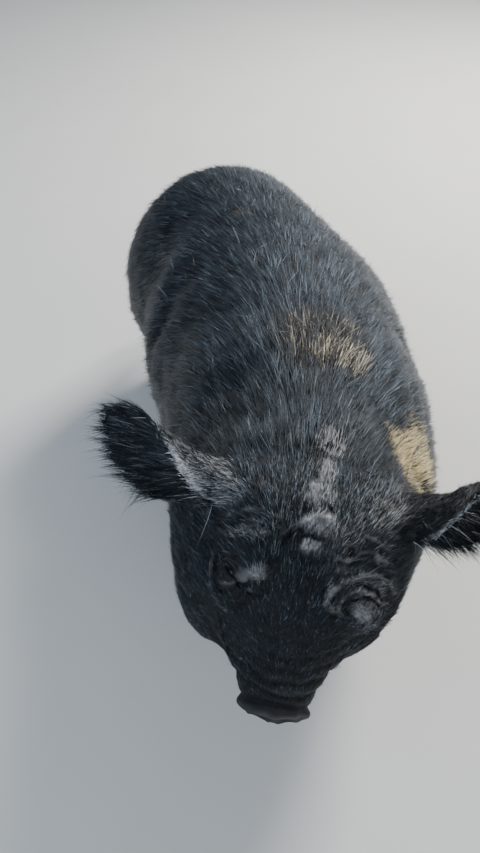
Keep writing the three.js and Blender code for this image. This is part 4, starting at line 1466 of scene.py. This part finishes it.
class PIG_OT_long_hair(bpy.types.Operator):
    """Grow the long hairs: the ears' fringes, the tail's tuft and stray bristles on the withers"""

    bl_idname = "pig.long_hair"
    bl_label = "Long hair"

    def execute(self, context):
        material = coat_paint(context.scene.pig, "long_bristles", 0.2)
        for seed, side in enumerate(EAR_ALONG, FRINGE_SEED):
            grow_fringe(side, seed, material)
        grow_tail_tuft(material)
        grow_withers_bristles(material)
        return {"FINISHED"}


class PIG_OT_eyes(bpy.types.Operator):
    """Make the two eyeballs, each with its clear bulge in front"""

    bl_idname = "pig.eyes"
    bl_label = "Eyes"

    def execute(self, context):
        material = eye_paint(context.scene.pig)
        for side, way in (("left", 1), ("right", -1)):
            bpy.ops.object.select_all(action="DESELECT")
            bpy.ops.mesh.primitive_uv_sphere_add(segments=48, ring_count=32, radius=EYE_RADIUS)
            ball = bpy.context.object
            ball.name = f"eyeball_{side}"
            points = places(ball)
            points[:, 2] += 0.0014 * smooth_step(0.0085, 0.0130, points[:, 2])
            out = unit(SLITS[way][0]) @ HEAD_AXES
            beside = unit(np.cross([0, 0, 1], out))
            axes = np.array([beside, np.cross(out, beside), out])
            put(ball, points @ axes + centre(f"eye_{side}"))
            alone(ball)
            bpy.ops.object.shade_smooth()
            dress(ball, material)
            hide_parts(f"eye_{side}")
        return {"FINISHED"}


class PIG_OT_claws(bpy.types.Operator):
    """Round off the claws and dewclaws"""

    bl_idname = "pig.claws"
    bl_label = "Claws"

    def execute(self, context):
        material = horn_paint(context.scene.pig)
        for leg in LEGS:
            for kind in HORN_GRAIN:
                for side in ("inner", "outer"):
                    node = f"{leg}_{kind}_{side}"
                    piece = bpy.data.objects.new(f"horn_{node}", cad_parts[node].data.copy())
                    context.scene.collection.objects.link(piece)
                    alone(piece)
                    merge_doubles()
                    piece.data.remesh_voxel_size = HORN_GRAIN[kind]
                    bpy.ops.object.voxel_remesh()
                    evened(piece, 6)
                    points = places(piece)
                    points[:, 2] = np.maximum(points[:, 2], 0)
                    put(piece, points)
                    bpy.ops.object.shade_smooth()
                    dress(piece, material)
                    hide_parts(node)
        return {"FINISHED"}


class PIG_OT_stage(bpy.types.Operator):
    """Set up the floor, the soft lamps and the camera"""

    bl_idname = "pig.stage"
    bl_label = "Stage"

    def execute(self, context):
        bpy.ops.object.select_all(action="DESELECT")
        bpy.ops.mesh.primitive_plane_add(size=FLOOR_SIZE)
        floor = context.object
        floor.name = "studio_floor"
        floor.data.materials.append(floor_paint())
        world = bpy.data.worlds.new("studio")
        world.use_nodes = True
        background = world.node_tree.nodes["Background"]
        background.inputs["Color"].default_value = (*SKY, 1)
        background.inputs["Strength"].default_value = SKY_STRENGTH
        context.scene.world = world
        for name, place, size, share, tone in LAMPS:
            bpy.ops.object.light_add(type="AREA", location=place)
            lamp = context.object
            lamp.name = name
            lamp.data.size = size
            lamp.data.energy = context.scene.pig.key_power * share
            lamp.data.color = tone
            aim = Vector(AIM) - lamp.location
            lamp.rotation_euler = aim.to_track_quat("-Z", "Y").to_euler()
        bpy.ops.object.camera_add(location=BODY + np.array(CAMERA_PLACE), rotation=(CAMERA_TILT, 0, 0))
        camera = context.object
        camera.data.sensor_width = SENSOR
        camera.data.lens = LENS
        context.scene.camera = camera
        return {"FINISHED"}


STEPS = (PIG_OT_hide, PIG_OT_eyes, PIG_OT_claws, PIG_OT_coat, PIG_OT_long_hair, PIG_OT_stage)


class PIG_PT_panel(bpy.types.Panel):
    """The pig's makers and settings in the sidebar"""

    bl_label = "Pig"
    bl_idname = "PIG_PT_panel"
    bl_space_type = "VIEW_3D"
    bl_region_type = "UI"
    bl_category = "Pig"

    def draw(self, context):
        for step in STEPS:
            self.layout.operator(step.bl_idname)
        for key in PIG_PG_settings.__annotations__:
            self.layout.prop(context.scene.pig, key)


CLASSES = (PIG_PG_settings, *STEPS, PIG_PT_panel)


def register():
    for kind in CLASSES:
        bpy.utils.register_class(kind)
    bpy.types.Scene.pig = bpy.props.PointerProperty(type=PIG_PG_settings)


def unregister():
    del bpy.types.Scene.pig
    for kind in reversed(CLASSES):
        bpy.utils.unregister_class(kind)


def main():
    register()
    for step in STEPS:
        group, name = step.bl_idname.split(".")
        getattr(getattr(bpy.ops, group), name)()


if __name__ == "__main__":
    main()
